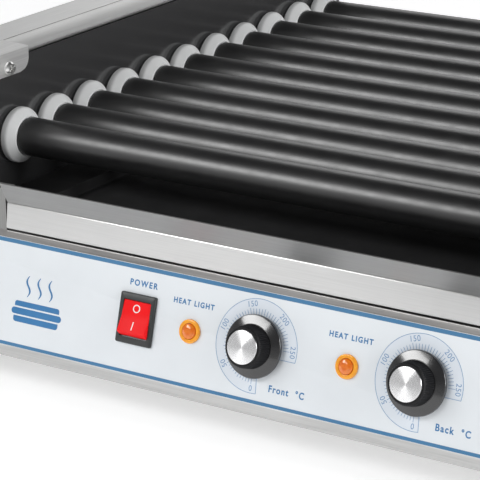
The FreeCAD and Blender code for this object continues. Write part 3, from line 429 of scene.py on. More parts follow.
amber_ring = lamp_plastic("lamp_amber", (0.80, 0.30, 0.01), (0.93, 0.40, 0.02), 0.06)
amber_dome = lamp_plastic("lamp_amber_dome", (0.72, 0.15, 0.005), (0.78, 0.21, 0.01), 0.03)
knob_black = moulded("knob_black", (0.004, 0.004, 0.005), (0.008, 0.008, 0.009), (0.16, 0.22),
                     900, 0.006 * MM, specular=0.8, coat=0.6)
grip_black = moulded("knob_grip", (0.005, 0.005, 0.006), (0.009, 0.009, 0.01), (0.45, 0.6),
                     2400, 0.03 * MM, specular=0.2)
cap_aluminium = spun_metal("cap_aluminium", (0.93, 0.93, 0.935))
foot_rubber = moulded("foot_rubber", (0.014, 0.014, 0.014), (0.028, 0.027, 0.026), (0.65, 0.8),
                      1500, 0.06 * MM)
black_plastic = moulded("black_plastic", (0.016, 0.016, 0.016), (0.03, 0.03, 0.03), (0.4, 0.55),
                        1600, 0.04 * MM)
pale_plastic = moulded("pale_plastic", (0.60, 0.57, 0.50), (0.72, 0.69, 0.61), (0.35, 0.5),
                       1200, 0.03 * MM)
motor_paint = moulded("motor_casing", (0.20, 0.21, 0.22), (0.30, 0.31, 0.32), (0.3, 0.45),
                      900, 0.03 * MM)

# ---- mesh helpers


def sweep(start, end, steps):
    """Evenly spaced values from start to end."""
    return [start + (end - start) * step / steps for step in range(steps + 1)]


def rectangle(low, high, *radius):
    """Corners of an upright rectangle, each with the radius if one is given."""
    return [(low[0], low[1], *radius), (high[0], low[1], *radius),
            (high[0], high[1], *radius), (low[0], high[1], *radius)]


def rounded(corners, closed=True, steps=6):
    """Outline through (u, v) or (u, v, radius) corners, with an arc at each radius."""
    points = []
    count = len(corners)
    for number, corner in enumerate(corners):
        here = Vector(corner[:2])
        radius = corner[2] if len(corner) > 2 else 0
        if not radius or (not closed and number in (0, count - 1)):
            points.append(tuple(here))
            continue
        to_last = Vector(corners[number - 1][:2]) - here
        to_next = Vector(corners[(number + 1) % count][:2]) - here
        half = to_last.angle(to_next) / 2
        room = min(to_last.length, to_next.length) * 0.499
        cut = min(radius / math.tan(half), room)
        first = here + to_last.normalized() * cut
        last = here + to_next.normalized() * cut
        bisector = (to_last.normalized() + to_next.normalized()).normalized()
        centre = here + bisector * (cut / math.cos(half))
        start, end = first - centre, last - centre
        opening = math.atan2(start.x * end.y - start.y * end.x, start.dot(end))
        points += [tuple(centre + Matrix.Rotation(turn, 2) @ start)
                   for turn in sweep(0, opening, steps)]
    return points


def join_rings(build, near, far):
    """Faces between two closed rings of points, either of which may be a single point."""
    faces = []
    count = max(len(near), len(far))
    for step in range(count):
        after = (step + 1) % count
        if len(near) == 1:
            corners = near[0], far[after], far[step]
        elif len(far) == 1:
            corners = near[step], near[after], far[0]
        else:
            corners = near[step], near[after], far[after], far[step]
        faces.append(build.faces.new(corners))
    return faces


def turned(build, profile, place=FLAT, segments=96, closed=False, radius_at=None):
    """Turn an (along, radius) profile round the local Z axis of a place."""
    rings = []
    for along, radius in profile:
        if radius < 1e-7:
            rings.append([build.verts.new(place @ Vector((0, 0, along)))])
            continue
        ring = []
        for turn in sweep(0, TURN, segments)[:-1]:
            reach = radius_at(radius, turn, along) if radius_at else radius
            ring.append(build.verts.new(place @ Vector((*polar(reach, turn), along))))
        rings.append(ring)
    pairs = list(zip(rings, rings[1:]))
    if closed:
        pairs.append((rings[-1], rings[0]))
    for near, far in pairs:
        join_rings(build, near, far)


def extruded(build, outline, low, high, place=FLAT, bevel=0.0, steps=2):
    """Solid with a flat outline in local X and Y, from low to high along local Z."""
    bottom, top = [[build.verts.new(place @ Vector((u, v, level))) for u, v in outline]
                   for level in (low, high)]
    ends = [build.faces.new(bottom), build.faces.new(top)]
    bmesh.ops.recalc_face_normals(build, faces=ends + join_rings(build, bottom, top))
    if bevel:
        rims = [edge for face in ends for edge in face.edges]
        bmesh.ops.bevel(build, geom=rims, offset=bevel, segments=steps, profile=0.5,
                        affect="EDGES", clamp_overlap=True)


def skin(build, path, ends, to_frame):
    """Open sheet: a path of (u, v) points drawn out between two ends given for each point."""
    rows = [[build.verts.new(to_frame(u, v, stop)) for stop in ends(u, v)] for u, v in path]
    for near, far in zip(rows, rows[1:]):
        build.faces.new((near[0], near[1], far[1], far[0]))


def drawn_along_y(side):
    """Places of a sheet drawn across X, mirrored for side -1, and up Z."""
    return lambda u, v, w: Vector((side * u, w, v))


def drawn_along_x(u, v, w):
    """Place of a sheet drawn back along Y and up Z."""
    return Vector((w, u, v))


def add_mesh(name, build, surface):
    """Turn a bmesh into an object with one material."""
    mesh = bpy.data.meshes.new(name)
    build.to_mesh(mesh)
    build.free()
    mesh.materials.append(surface)
    return add_object(name, mesh)


def make_piece(name, build, body, surface, replaces=(), place=None, smooth=32):
    """Turn a bmesh into a piece that rides on a CAD body and stands for CAD nodes."""
    bmesh.ops.recalc_face_normals(build, faces=build.faces)
    for face in build.faces:
        face.smooth = True
    limit = math.radians(smooth)
    for edge in build.edges:
        edge.smooth = len(edge.link_faces) != 2 or edge.calc_face_angle() < limit
    piece = add_mesh(name, build, surface)
    if place is not None:
        piece.matrix_world = place
    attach(piece, body)
    if replaces:
        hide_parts(*replaces)
    return piece


def dress(piece, surfaces, choose):
    """Give a piece more materials, and choose one for each face by its centre."""
    for surface in surfaces:
        piece.data.materials.append(surface)
    for face in piece.data.polygons:
        face.material_index = choose(face.center)


def thicken(piece, thickness, bend):
    """Give an open sheet its thickness and soft bends and edges."""
    solid = piece.modifiers.new("thickness", "SOLIDIFY")
    solid.thickness = thickness
    solid.offset = -1
    solid.use_even_offset = True
    solid.use_quality_normals = True
    soft = piece.modifiers.new("soft_edges", "BEVEL")
    soft.width = bend
    soft.segments = 3
    soft.limit_method = "ANGLE"
    soft.angle_limit = math.radians(40)
    soft.harden_normals = True


# ---- cheeks

SHOULDER = 35 * MM
ROLL = 10 * MM
FRONT_GAP = 1.3 * MM
CHEEK_LEAN = 26 * MM


def front_edge_at(height):
    """Depth of the outside of the casing front at a height."""
    if height < PANEL_TOP:
        share = (height - CASING_LOW) / (PANEL_TOP - CASING_LOW)
        return PANEL_FRONT + (FASCIA - PANEL_FRONT) * share
    if height < FASCIA_TOP:
        return FASCIA
    return FASCIA + CHEEK_LEAN * (height - FASCIA_TOP) / (CHEEK_TOP - FASCIA_TOP)


def make_cover(name, side):
    """Outer sheet: rolled inner edge with its seam, flat top, sloped shoulder and side."""
    bend = 2.2 * MM
    seam = 0.5 * MM
    fold = HOOK_X + ROLL
    wide = ROLL * 1.05
    tight = 2.0 * MM
    change = math.radians(68)
    curl = math.radians(150)
    low_u = fold - (wide - tight) * math.sin(change)
    low_v = CHEEK_TOP - wide + (wide - tight) * math.cos(change)
    path = [(low_u - tight * math.sin(turn), low_v + tight * math.cos(turn))
            for turn in sweep(curl, change, 8)[:-1]]
    path += [(fold - wide * math.sin(turn), CHEEK_TOP - wide + wide * math.cos(turn))
             for turn in sweep(change, 0, 14)[:-1]]
    path += rounded([
        (fold - seam, CHEEK_TOP),
        (fold, CHEEK_TOP - 1.6 * seam),
        (fold + seam, CHEEK_TOP),
        (HALF_WIDTH - SHOULDER, CHEEK_TOP, bend),
        (HALF_WIDTH, CHEEK_TOP - SHOULDER, bend),
        (HALF_WIDTH, FASCIA_TOP),
        (HALF_WIDTH, PANEL_TOP),
        (HALF_WIDTH, CASING_LOW),
    ], closed=False, steps=10)

    def part_at(centre):
        """Material number: 0 for the flat sheet, 1 for the roll and 2 for the seam, whose dark
        steel is painted shade in the crease.
        """
        across = abs(centre.x)
        if across < fold - seam:
            return 1
        return 2 if across < fold + seam else 0

    build = bmesh.new()
    skin(build, path, lambda u, v: (front_edge_at(v) + FRONT_GAP, COVER_REAR), drawn_along_y(side))
    piece = make_piece(f"{name}_cheek_sheet", build, "casing", steel_y,
                       (f"{name}_cover",))
    # The seam gets the dark steel: painted shade along the crease.
    dress(piece, (roll_steel, bend_shade_steel), part_at)
    thicken(piece, METAL, 0.25 * MM)


def make_front_cap(name, side):
    """Leaning front plate of a cheek."""
    corner = 7.5 * MM + METAL
    outline = [
        (TAB_X, FASCIA_TOP),
        (TAB_X, WALL_TOP + 3 * MM),
        (TAB_X + corner, CHEEK_TOP),
        (HALF_WIDTH - SHOULDER, CHEEK_TOP),
        (HALF_WIDTH, CHEEK_TOP - SHOULDER),
        (HALF_WIDTH, FASCIA_TOP),
    ]
    build = bmesh.new()
    build.faces.new([build.verts.new((side * u, front_edge_at(v), v)) for u, v in outline])
    piece = make_piece(f"{name}_front_plate", build, "casing", plate_steel,
                       (f"{name}_front_cap",))
    thicken(piece, METAL, 0.35 * MM)
    if piece.data.polygons[0].normal.y > 0:
        piece.data.flip_normals()


def make_tab(name, side):
    """Screwed tab that laps over the rolled edge, its lower rear corner rounded."""
    corner = 9 * MM
    rear = TAB_REAR + 2.5 * MM
    low = WALL_TOP - 10 * MM
    bend_z = WALL_TOP + 5.2 * MM
    taper = 2.4
    path = [(TAB_X, height) for height in sweep(low, low + corner, 8)[:-1]]
    path += rounded([(TAB_X, low + corner), (TAB_X, bend_z, 1.2 * MM),
                     (WALL_X + 5.5 * MM, TAB_TOP)], closed=False)

    def ends(u, v):
        """Front and rear end of the tab at a point of its path."""
        short = max(corner - (v - low), 0)
        lean = max(u - TAB_X - 1.5 * MM, 0) * taper
        round_off = corner - math.sqrt(corner ** 2 - short ** 2)
        return front_edge_at(v) + 0.6 * MM, rear - lean - round_off

    build = bmesh.new()
    skin(build, path, ends, drawn_along_y(side))
    piece = make_piece(f"{name}_tab", build, "casing", tab_steel,
                       (f"{name}_front_cap",))
    thicken(piece, METAL, 0.3 * MM)


def make_rear_cap(name, side):
    """Flat plate that closes the back of a cheek."""
    outline = rounded([
        (HOOK_X, CASING_LOW, 1 * MM),
        (HALF_WIDTH, CASING_LOW, 1 * MM),
        (HALF_WIDTH, CHEEK_TOP - SHOULDER, 2 * MM),
        (HALF_WIDTH - SHOULDER, CHEEK_TOP, 2 * MM),
        (HOOK_X, CHEEK_TOP, ROLL),
    ])
    place = Matrix(((side, 0, 0, 0), (0, 0, 1, 0), (0, 1, 0, 0), (0, 0, 0, 1)))
    build = bmesh.new()
    extruded(build, outline, COVER_REAR, CAP_REAR, place, 0.3 * MM)
    make_piece(f"{name}_rear_plate", build, "casing", steel_z,
               (f"{name}_rear_cap",))


# ---- front of the casing

STRIPE_EDGE = 6 * MM
OVERLAY_LOW = 7.7 * MM
OVERLAY_HIGH = SLOPE_LENGTH - 4.4 * MM
PRINT = 0.05 * MM


def make_control_sheet():
    """Sloped panel, upright fascia either side of the tray notch, and their return flanges."""
    notch = 174.3 * MM
    flange = 9.5 * MM
    bend = 1.0 * MM
    border = 4.3 * MM
    hem_height = 7 * MM
    slope = Vector((UP_SLOPE.y, UP_SLOPE.z))
    fold = Vector((FASCIA, PANEL_TOP)) - slope * border
    hem = Vector((PANEL_FRONT, CASING_LOW)) + slope * hem_height
    build = bmesh.new()

    def add_rows(path, columns, start):
        """Carry the sheet on from a row of corners, over each span of columns."""
        near = start
        for depth, height in path:
            far = [build.verts.new((across, depth, height)) for across in columns]
            if near:
                for part in range(len(columns) - 1):
                    build.faces.new((near[part], near[part + 1], far[part + 1], far[part]))
            near = far
        return near

    def part_at(centre):
        """Material number: 0 for the panel, 1 for its border and top bend, 2 for the fascia, 3 for
        the hem; 1, 2 and 3 are darker copies of the steel that paint shade.
        """
        if centre.z < hem.y:
            return 3
        return int(centre.z > fold.y) + int(centre.z > PANEL_TOP + 1 * MM)

    columns = (-HALF_WIDTH, -notch, notch, HALF_WIDTH)
    low = rounded([(PANEL_FRONT + flange, CASING_LOW), (PANEL_FRONT, CASING_LOW, 1.6 * MM),
                   tuple(hem), tuple(fold)], closed=False)
    split = add_rows(low, columns, None)
    middle = rounded([tuple(fold), (FASCIA, PANEL_TOP, bend), (FASCIA + flange, PANEL_TOP)],
                     closed=False)
    add_rows(middle[1:], (-notch, notch), split[1:3])
    upright = rounded([tuple(fold), (FASCIA, PANEL_TOP, bend), (FASCIA, FASCIA_TOP, 1.2 * MM),
                       (FASCIA + flange, FASCIA_TOP)], closed=False)
    for side in (slice(0, 2), slice(2, 4)):
        add_rows(upright[1:], columns[side], split[side])
    piece = make_piece("front_sheet", build, "casing", steel_x, ("control_panel",))
    # Border, fascia and hem take darker copies of the steel: painted shade.
    dress(piece, (bend_shade_steel, fascia_shade_steel, hem_shade_steel), part_at)
    thicken(piece, 1 * MM, 0.3 * MM)


def make_overlay():
    """Printed film on the sloped panel, with its two blue stripes."""
    half = HALF_WIDTH - STRIPE_EDGE
    edge = half - 0.4 * MM
    margin = 0.15 * MM
    outline = rounded(rectangle((-half, OVERLAY_LOW), (half, OVERLAY_HIGH), 1.5 * MM))
    build = bmesh.new()
    extruded(build, outline, 0, OVERLAY_FACE, bevel=0.12 * MM)
    make_piece("printed_film", build, "casing", film, ("panel_overlay",),
               on_panel(0, 0))
    build = bmesh.new()
    for low, high in ((OVERLAY_LOW + margin, OVERLAY_LOW + 2.2 * MM),
                      (OVERLAY_HIGH - 2.6 * MM, OVERLAY_HIGH - margin)):
        extruded(build, rectangle((-edge, low), (edge, high)), OVERLAY_FACE, OVERLAY_FACE + PRINT)
    make_piece("film_stripes", build, "casing", stripe_blue, (), on_panel(0, 0))


# ---- printing

def ring_strip(build, inner, outer, start, end, low, high, steps=64, place=FLAT):
    """Flat ring sector between two radii and two angles."""
    section = ((inner, low), (outer, low), (outer, high), (inner, high))
    rows = [[build.verts.new(place @ Vector((*polar(radius, turn), level)))
             for radius, level in section] for turn in sweep(start, end, steps)]
    for near, far in zip(rows, rows[1:]):
        join_rings(build, near, far)
    build.faces.new(rows[0])
    build.faces.new(list(reversed(rows[-1])))


def radial_bar(build, inner, outer, turn, width, low, high):
    """Thin printed bar along a radius."""
    along = Vector(polar(1, turn))
    aside = Vector((-along.y, along.x)) * width / 2
    outline = (along * inner - aside, along * outer - aside,
               along * outer + aside, along * inner + aside)
    extruded(build, [tuple(point) for point in outline], low, high)


def add_text(build, words, height, place, spacing=1.0, stretch=1.0, bold=0.0):
    """Raised lettering, centred on its place, as tall as its height."""
    capital = 0.72
    curve = bpy.data.curves.new("lettering", "FONT")
    curve.body = words
    curve.align_x = "CENTER"
    curve.align_y = "CENTER"
    curve.size = height / capital
    curve.space_character = spacing
    curve.extrude = PRINT / 2
    curve.offset = bold
    letters = bpy.data.objects.new("lettering", curve)
    mesh = bpy.data.meshes.new_from_object(letters)
    mesh.transform(place @ Matrix.Diagonal((stretch, 1, 1, 1)))
    build.from_mesh(mesh)
    bpy.data.objects.remove(letters)
    bpy.data.curves.remove(curve)
    bpy.data.meshes.remove(mesh)


SCALE_START = math.radians(-81.5)
SCALE_END = math.radians(-370.3)
SCALE_INNER = 18 * MM
SCALE_OUTER = 27.6 * MM
NUMBER_RADIUS = 24.4 * MM
NUMBERS = {0: 270, 50: 214.6, 100: 159.7, 150: 105, 200: 48.4, 250: 2}


def sector_corners(radius, inner):
    """Outline of the scale: an outer arc that ends on an upright and on a level line."""
    steps = 72
    arc = [polar(radius, turn) for turn in sweep(SCALE_START, SCALE_END, steps)]
    first = -math.acos(arc[0][0] / inner)
    last = math.asin(arc[-1][1] / inner) - TURN
    return arc, [polar(inner, turn) for turn in sweep(last, first, steps)]


def make_dial_print(name, across):
    """Pale scale sector, its outline, ticks and numbers round one knob."""
    place = on_panel(across, CONTROL_LINE)
    face = OVERLAY_FACE
    top = face + 2 * PRINT
    line = 0.3 * MM
    lean = 0.9 * MM
    inner = SCALE_INNER - 2 * MM
    build = bmesh.new()
    arc, back = sector_corners(SCALE_OUTER, SCALE_INNER - 4 * MM)
    extruded(build, arc + back, face, face + PRINT)
    make_piece(f"{name}_dial_sector", build, "casing", dial_blue, (), place)
    build = bmesh.new()
    ring_strip(build, SCALE_OUTER - line, SCALE_OUTER, SCALE_START, SCALE_END, face, top)
    left, bottom = arc[0]
    right, low = arc[-1]
    extruded(build, [(left - line, bottom), (left, bottom), (left - lean, -inner),
                     (left - lean - line, -inner)], face, top)
    extruded(build, rectangle((inner, low), (right, low + line)), face, top)
    first, last = math.radians(NUMBERS[0]), math.radians(NUMBERS[250])
    for tick, turn in enumerate(sweep(first, last, 50)):
        reach = 4.3 * MM if tick % 5 == 0 else 3.7 * MM
        radial_bar(build, SCALE_INNER + line, SCALE_INNER + reach, turn, 0.28 * MM, face, top)
    for number, degrees in NUMBERS.items():
        turn = math.radians(degrees)
        spot = Matrix.Translation((*polar(NUMBER_RADIUS, turn), face + PRINT))
        facing = Matrix.Rotation(turn - math.pi / 2, 4, "Z")
        add_text(build, str(number), 3.4 * MM, spot @ facing, spacing=1.1, stretch=0.95)
    make_piece(f"{name}_dial_scale", build, "casing", scale_blue, (), place)


# Function words: place across and up the panel, height, letter spacing and width.
LABELS = (
    ("POWER", SWITCH_X + 1.5 * MM, 62.4 * MM, 3.6 * MM, 1.35, 0.95),
    ("HEAT LIGHT", DIALS["front"] + LAMP_OFFSET, 57.4 * MM, 3.2 * MM, 1.3, 0.93),
    ("HEAT LIGHT", DIALS["back"] + LAMP_OFFSET, 57.4 * MM, 3.2 * MM, 1.3, 0.93),
    ("Front  °C", DIALS["front"] + 24 * MM, 18.4 * MM, 4.0 * MM, 1.25, 0.88),
    ("Back  °C", DIALS["back"] + 25 * MM, 18.8 * MM, 4.0 * MM, 1.25, 0.9),
)


def make_labels():
    """Plain function words beside the controls."""
    build = bmesh.new()
    for words, across, up, height, spacing, stretch in LABELS:
        spot = Matrix.Translation((across, up, OVERLAY_FACE + PRINT / 2))
        add_text(build, words, height, spot, spacing, stretch, 0.15 * MM)
    make_piece("panel_labels", build, "casing", letter_blue, (), on_panel(0, 0))


# Bun, sausage and bun: half length, bottom, top, lower and upper corner radius, in millimetres.
LAYERS = ((17, -14.6, -10.9, 3.4, 0.3), (19, -9.9, -5.9, 1.99, 1.99), (17, -4.9, -1.6, 0.3, 3.0))
EMBLEM_PLACE = (-143.5 * MM, 38 * MM)


def make_emblem():
    """Plain pictogram at the left of the panel: a sausage in a bun under three curls of steam."""
    low, high = OVERLAY_FACE, OVERLAY_FACE + PRINT
    foot, rise, swing = 1.5 * MM, 13 * MM, 1.5 * MM
    thin, swell = 0.25 * MM, 0.5 * MM
    build = bmesh.new()
    for half, bottom, top, lower, upper in LAYERS:
        layer = mm((-half, bottom, lower), (half, bottom, lower),
                   (half, top, upper), (-half, top, upper))
        extruded(build, rounded(layer, steps=8), low, high)
    for start in (-8.5 * MM, 0, 8.5 * MM):
        curl = [(start + swing * math.sin(TURN * share), foot + rise * share,
                 thin + swell * math.sin(math.pi * share)) for share in sweep(0, 1, 24)]
        outline = [(u - width, v) for u, v, width in curl]
        outline += [(u + width, v) for u, v, width in reversed(curl)]
        extruded(build, outline, low, high)
    make_piece("panel_pictogram", build, "casing", letter_blue, (),
               on_panel(*EMBLEM_PLACE))


# ---- controls

# Place whose local X, Y and Z run along the frame's Y, Z and X.
SIDEWAYS = Matrix(((0, 0, 1, 0), (1, 0, 0, 0), (0, 1, 0, 0), (0, 0, 0, 1)))
ROCKER_RADIUS = 11.3 * MM
ROCKER_PIVOT = -2 * MM
ROCKER_THROW = math.radians(12)
ROCKER_RIM = math.radians(32)
ROCKER_DIP = 1.1 * MM
ROCKER_FLAT = ROCKER_RADIUS * 0.85


def make_switch():
    """Switch bezel with soft corners round a dark well."""
    outer = rounded(mm(*rectangle((-12.65, -15.2), (12.65, 15.2), 1)), steps=4)
    inner = rounded(mm(*rectangle((-10.35, -11.7), (10.35, 11.7), 0.6)), steps=4)
    lift = OVERLAY_FACE
    edge = 0.5 * MM
    levels = [
        (outer, lift, 0.0), (outer, lift + 1.4 * MM, 0.0), (outer, lift + 1.8 * MM, edge * 0.4),
        (outer, lift + 2.0 * MM, edge), (inner, lift + 2.0 * MM, -edge),
        (inner, lift + 1.7 * MM, -edge * 0.2), (inner, lift - 12 * MM, 0.0),
    ]
    build = bmesh.new()
    rows = [[build.verts.new((u - math.copysign(inset, u), v - math.copysign(inset, v), level))
             for u, v in outline] for outline, level, inset in levels]
    for near, far in zip(rows, rows[1:]):
        join_rings(build, near, far)
    build.faces.new(rows[-1])
    make_piece("switch_bezel", build, "casing", switch_plastic,
               ("switch_frame",), on_panel(SWITCH_X, CONTROL_LINE))


def rocker_face(along):
    """Height of the V-shaped rocker face above its pivot, at a place along its length."""
    rim = ROCKER_RADIUS * math.sin(ROCKER_RIM)
    return rim - ROCKER_DIP * (1 - min(abs(along) / ROCKER_FLAT, 1))


def make_rocker():
    """Red rocker with a shallow V face and softly rounded edges."""
    half = 10 * MM
    reach = ROCKER_RADIUS * math.cos(ROCKER_RIM)
    face = [(u, rocker_face(u)) for u in sweep(reach, -reach, 6)]
    side = [polar(ROCKER_RADIUS, turn) for turn in sweep(math.radians(-25), ROCKER_RIM, 8)[:-1]]
    profile = side + face + [(-u, v) for u, v in reversed(side)]
    place = on_panel(SWITCH_X, CONTROL_LINE, ROCKER_PIVOT) @ Matrix.Rotation(-ROCKER_THROW, 4, "X")
    build = bmesh.new()
    extruded(build, profile, -half, half, SIDEWAYS, 0.5 * MM, 3)
    make_piece("rocker_button", build, "rocker", rocker_red, ("switch_rocker",),
               place, 40)
    spot = 5.3 * MM
    lean = math.atan(ROCKER_DIP / ROCKER_FLAT)
    low, high = -PRINT, 2 * PRINT
    ring_place, bar_place = (
        Matrix.Translation((0, end * spot, rocker_face(spot))) @ Matrix.Rotation(end * lean, 4, "X")
        for end in (1, -1))
    widen = Matrix.Diagonal((1.02, 1, 1, 1))
    build = bmesh.new()
    ring_strip(build, 1.85 * MM, 2.5 * MM, 0, TURN, low, high, 40, ring_place @ widen)
    bar = rounded(mm(*rectangle((-0.34, -2.6), (0.34, 2.6), 0.2)))
    extruded(build, bar, low, high, bar_place)
    make_piece("rocker_marks", build, "rocker", mark_white, (), place)


def make_lamps():
    """Amber lamps: a rounded flange ring and a low dome in its middle."""
    ring = rounded(mm((0, 7.2), (1.5, 7.2, 1.1), (1.5, 4.9, 0.4), (0.7, 4.7), (0, 4.7)), steps=5)
    dome = rounded(mm((0, 4.65), (2.0, 4.5, 0.9), (2.9, 2.2, 2.5), (2.95, 0)), closed=False)
    for name, across in DIALS.items():
        place = on_panel(across + LAMP_OFFSET, CONTROL_LINE, OVERLAY_FACE)
        build = bmesh.new()
        turned(build, ring, FLAT, 64, closed=True)
        make_piece(f"{name}_lamp_ring", build, "casing", amber_ring,
                   ("indicator_lamps",), place)
        build = bmesh.new()
        turned(build, dome, FLAT, 64)
        make_piece(f"{name}_lamp_dome", build, "casing", amber_dome,
                   ("indicator_lamps",), place)


FLUTES = 60
FLUTE_DEPTH = 0.38 * MM
FLUTE_LOW, FLUTE_HIGH = 6.5 * MM, 14.9 * MM
# Profile corners: height off the panel, radius and rounding.
SKIRT = mm((2.0, 3.2), (2.0, 18.2, 0.5), (3.0, 18.8, 0.5), (4.5, 18.5, 0.6), (6.1, 13.3, 0.6),
           (6.3, 12.0))
GRIP = mm((5.4, 12.7), (6.6, 12.9), (14.6, 12.2, 1.0), (15.9, 11.2, 0.5), (15.9, 10.25, 0.15),
          (15.3, 10.15), (15.3, 0.0))
CAP = mm((15.35, 9.9), (16.4, 9.9, 0.3), (16.4, 0.0))


def fluted(radius, turn, along):
    """Radius of the grip, drawn in at each flute between the ends of the flutes."""
    if not FLUTE_LOW < along < FLUTE_HIGH:
        return radius
    return radius - FLUTE_DEPTH * (0.5 + 0.5 * math.cos(FLUTES * turn)) ** 2


def make_knob(name, across):
    """Knob: glossy sloped skirt, finely fluted grip and a turned metal cap."""
    place = on_panel(across, CONTROL_LINE)
    body = f"{name}_control"
    build = bmesh.new()
    turned(build, rounded(SKIRT, closed=False), FLAT, 128)
    make_piece(f"{name}_knob_skirt", build, body, knob_black, (f"{name}_knob",),
               place)
    build = bmesh.new()
    turned(build, rounded(GRIP, closed=False, steps=5), FLAT, FLUTES * 6, radius_at=fluted)
    make_piece(f"{name}_knob_grip", build, body, grip_black, (f"{name}_knob",),
               place)
    build = bmesh.new()
    turned(build, rounded(CAP, closed=False, steps=4), FLAT, 128)
    make_piece(f"{name}_knob_disc", build, body, cap_aluminium,
               (f"{name}_knob_cap",), place)


# ---- tray

TRAY_HALF = span("drip_tray", X)[1]
TRAY_FLOOR, LIP_TOP = span("drip_tray", Z)
LIP_FRONT, TRAY_REAR = span("drip_tray", Y)
TRAY_SHEET = 0.8 * MM
CREASE_Y = FASCIA + 0.8 * MM
CREASE_Z = 117.2 * MM
TRAY_FRONT = FASCIA - 1.2 * MM


def make_tray_lip():
    """Folded pull lip across the front of the tray."""
    path = rounded([(TRAY_FRONT + 12 * MM, TRAY_FLOOR), (TRAY_FRONT, TRAY_FLOOR, 0.8 * MM),
                    (CREASE_Y, CREASE_Z, 0.5 * MM), (LIP_FRONT, LIP_TOP - 0.3 * MM)], closed=False)
    build = bmesh.new()
    skin(build, path, lambda u, v: (-TRAY_HALF, TRAY_HALF), drawn_along_x)
    piece = make_piece("tray_lip", build, "tray", face_steel, ("drip_tray",))
    # The strip above the crease gets the darker steel, which paints the shade on that strip.
    dress(piece, (lip_shade_steel,), lambda centre: int(centre.z > CREASE_Z))
    thicken(piece, TRAY_SHEET, 0.22 * MM)


def make_tray_flange():
    """Front flange of the tray, folded up over the foot of the lip, its top edge chamfered."""
    skin_depth = 0.5 * MM
    low = TRAY_FLOOR + 0.7 * MM
    half = TRAY_HALF - 0.2 * MM
    lean = (CREASE_Y - TRAY_FRONT) / (CREASE_Z - TRAY_FLOOR)
    foot = TRAY_FRONT + lean * (low - TRAY_FLOOR)
    outline = rounded([(foot - skin_depth, low, 0.2 * MM),
                       (CREASE_Y - skin_depth, CREASE_Z - 0.5 * MM, 0.15 * MM),
                       (CREASE_Y, CREASE_Z + 0.25 * MM, 0.1 * MM),
                       (foot, low, 0.2 * MM)])
    build = bmesh.new()
    extruded(build, outline, -half, half, SIDEWAYS, 0.15 * MM)
    make_piece("tray_flange", build, "tray", face_steel, ("drip_tray",))


def make_tray_pan():
    """Black coated pan behind the lip."""
    rim = TRAY_FLOOR + 8.6 * MM
    floor = TRAY_FLOOR + TRAY_SHEET
    front = TRAY_FRONT + 2.2 * MM
    rear = TRAY_REAR - 0.4 * MM
    half = TRAY_HALF - 0.3 * MM
    bend = 2.0 * MM
    path = rounded([(-half, rim), (-half, floor, bend), (half, floor, bend), (half, rim)],
                   closed=False)
    build = bmesh.new()
    skin(build, path, lambda u, v: (front, rear), drawn_along_y(1))
    build.faces.new([build.verts.new((u, rear, v)) for u, v in path])
    bmesh.ops.remove_doubles(build, verts=build.verts, dist=1e-6)
    piece = make_piece("tray_pan", build, "tray", tray_enamel, ("drip_tray",))
    thicken(piece, 0.6 * MM, 0.2 * MM)


# ---- rollers and bushes

ALONG_X = Matrix(((0, 0, 1, 0), (0, 1, 0, 0), (-1, 0, 0, 0), (0, 0, 0, 1)))


def along_x(depth, height, side=1):
    """Place whose local Z runs along +X, or along -X for side -1."""
    turn = ALONG_X if side > 0 else ALONG_X @ Matrix.Rotation(math.pi, 4, "X")
    return Matrix.Translation((0, depth, height)) @ turn


def make_roller(number):
    """Coated tube with softly rounded ends, necked down where it enters the bushes."""
    left, right = span(f"roller_{number:02d}", X)
    radius = 12.5 * MM
    neck = 9 * MM
    bore = 7.4 * MM
    end = WALL_X - 11.5 * MM
    profile = rounded([
        (left, bore), (left, neck, 0.5 * MM), (-end, neck), (-end, radius, 1.0 * MM),
        (end, radius, 1.0 * MM), (end, neck), (right, neck, 0.5 * MM), (right, bore),
    ], steps=4)
    build = bmesh.new()
    turned(build, profile, along_x(ROLLER_Y[number - 1], ROLLER_Z), closed=True)
    make_piece(f"roller_{number:02d}_tube", build, f"roller_{number:02d}_body",
               roller_coating, (f"roller_{number:02d}",))


def make_bush_row(name, side):
    """Row of pale flanged bushes with a convex bevel towards the rollers."""
    bore = 9.1 * MM
    barrel = 12 * MM
    seat = 15 * MM
    flange = 18 * MM
    profile = rounded([
        (-WALL_OUTSIDE - 3 * MM, bore), (-WALL_OUTSIDE - 3 * MM, barrel),
        (-WALL_X, barrel), (-WALL_X, seat), (-WALL_X + 2.2 * MM, seat),
        (-WALL_X + 2.2 * MM, flange, 0.4 * MM), (-WALL_X + 6.2 * MM, flange, 3.2 * MM),
        (-WALL_X + 11 * MM, 13.6 * MM, 1.2 * MM), (-WALL_X + 11 * MM, 12.8 * MM),
        (-WALL_X + 10.2 * MM, 12.7 * MM), (-WALL_X + 10.2 * MM, bore),
    ])
    build = bmesh.new()
    for depth in ROLLER_Y:
        turned(build, profile, along_x(depth, ROLLER_Z, -side), 72, closed=True)
    make_piece(f"{name}_bush_row", build, "casing", bush_polymer,
               (f"{name}_bushes",))


# ---- screws and feet

SCREW_ROWS = (-170 * MM, 30 * MM, 200 * MM)
SCREW_HEIGHT = 10 * MM
TAB_SCREW = (60.2 * MM, -5 * MM)
SIDE_HEAD = (3.6 * MM, 2.2 * MM)
TAB_HEAD = (4.4 * MM, 2.8 * MM)


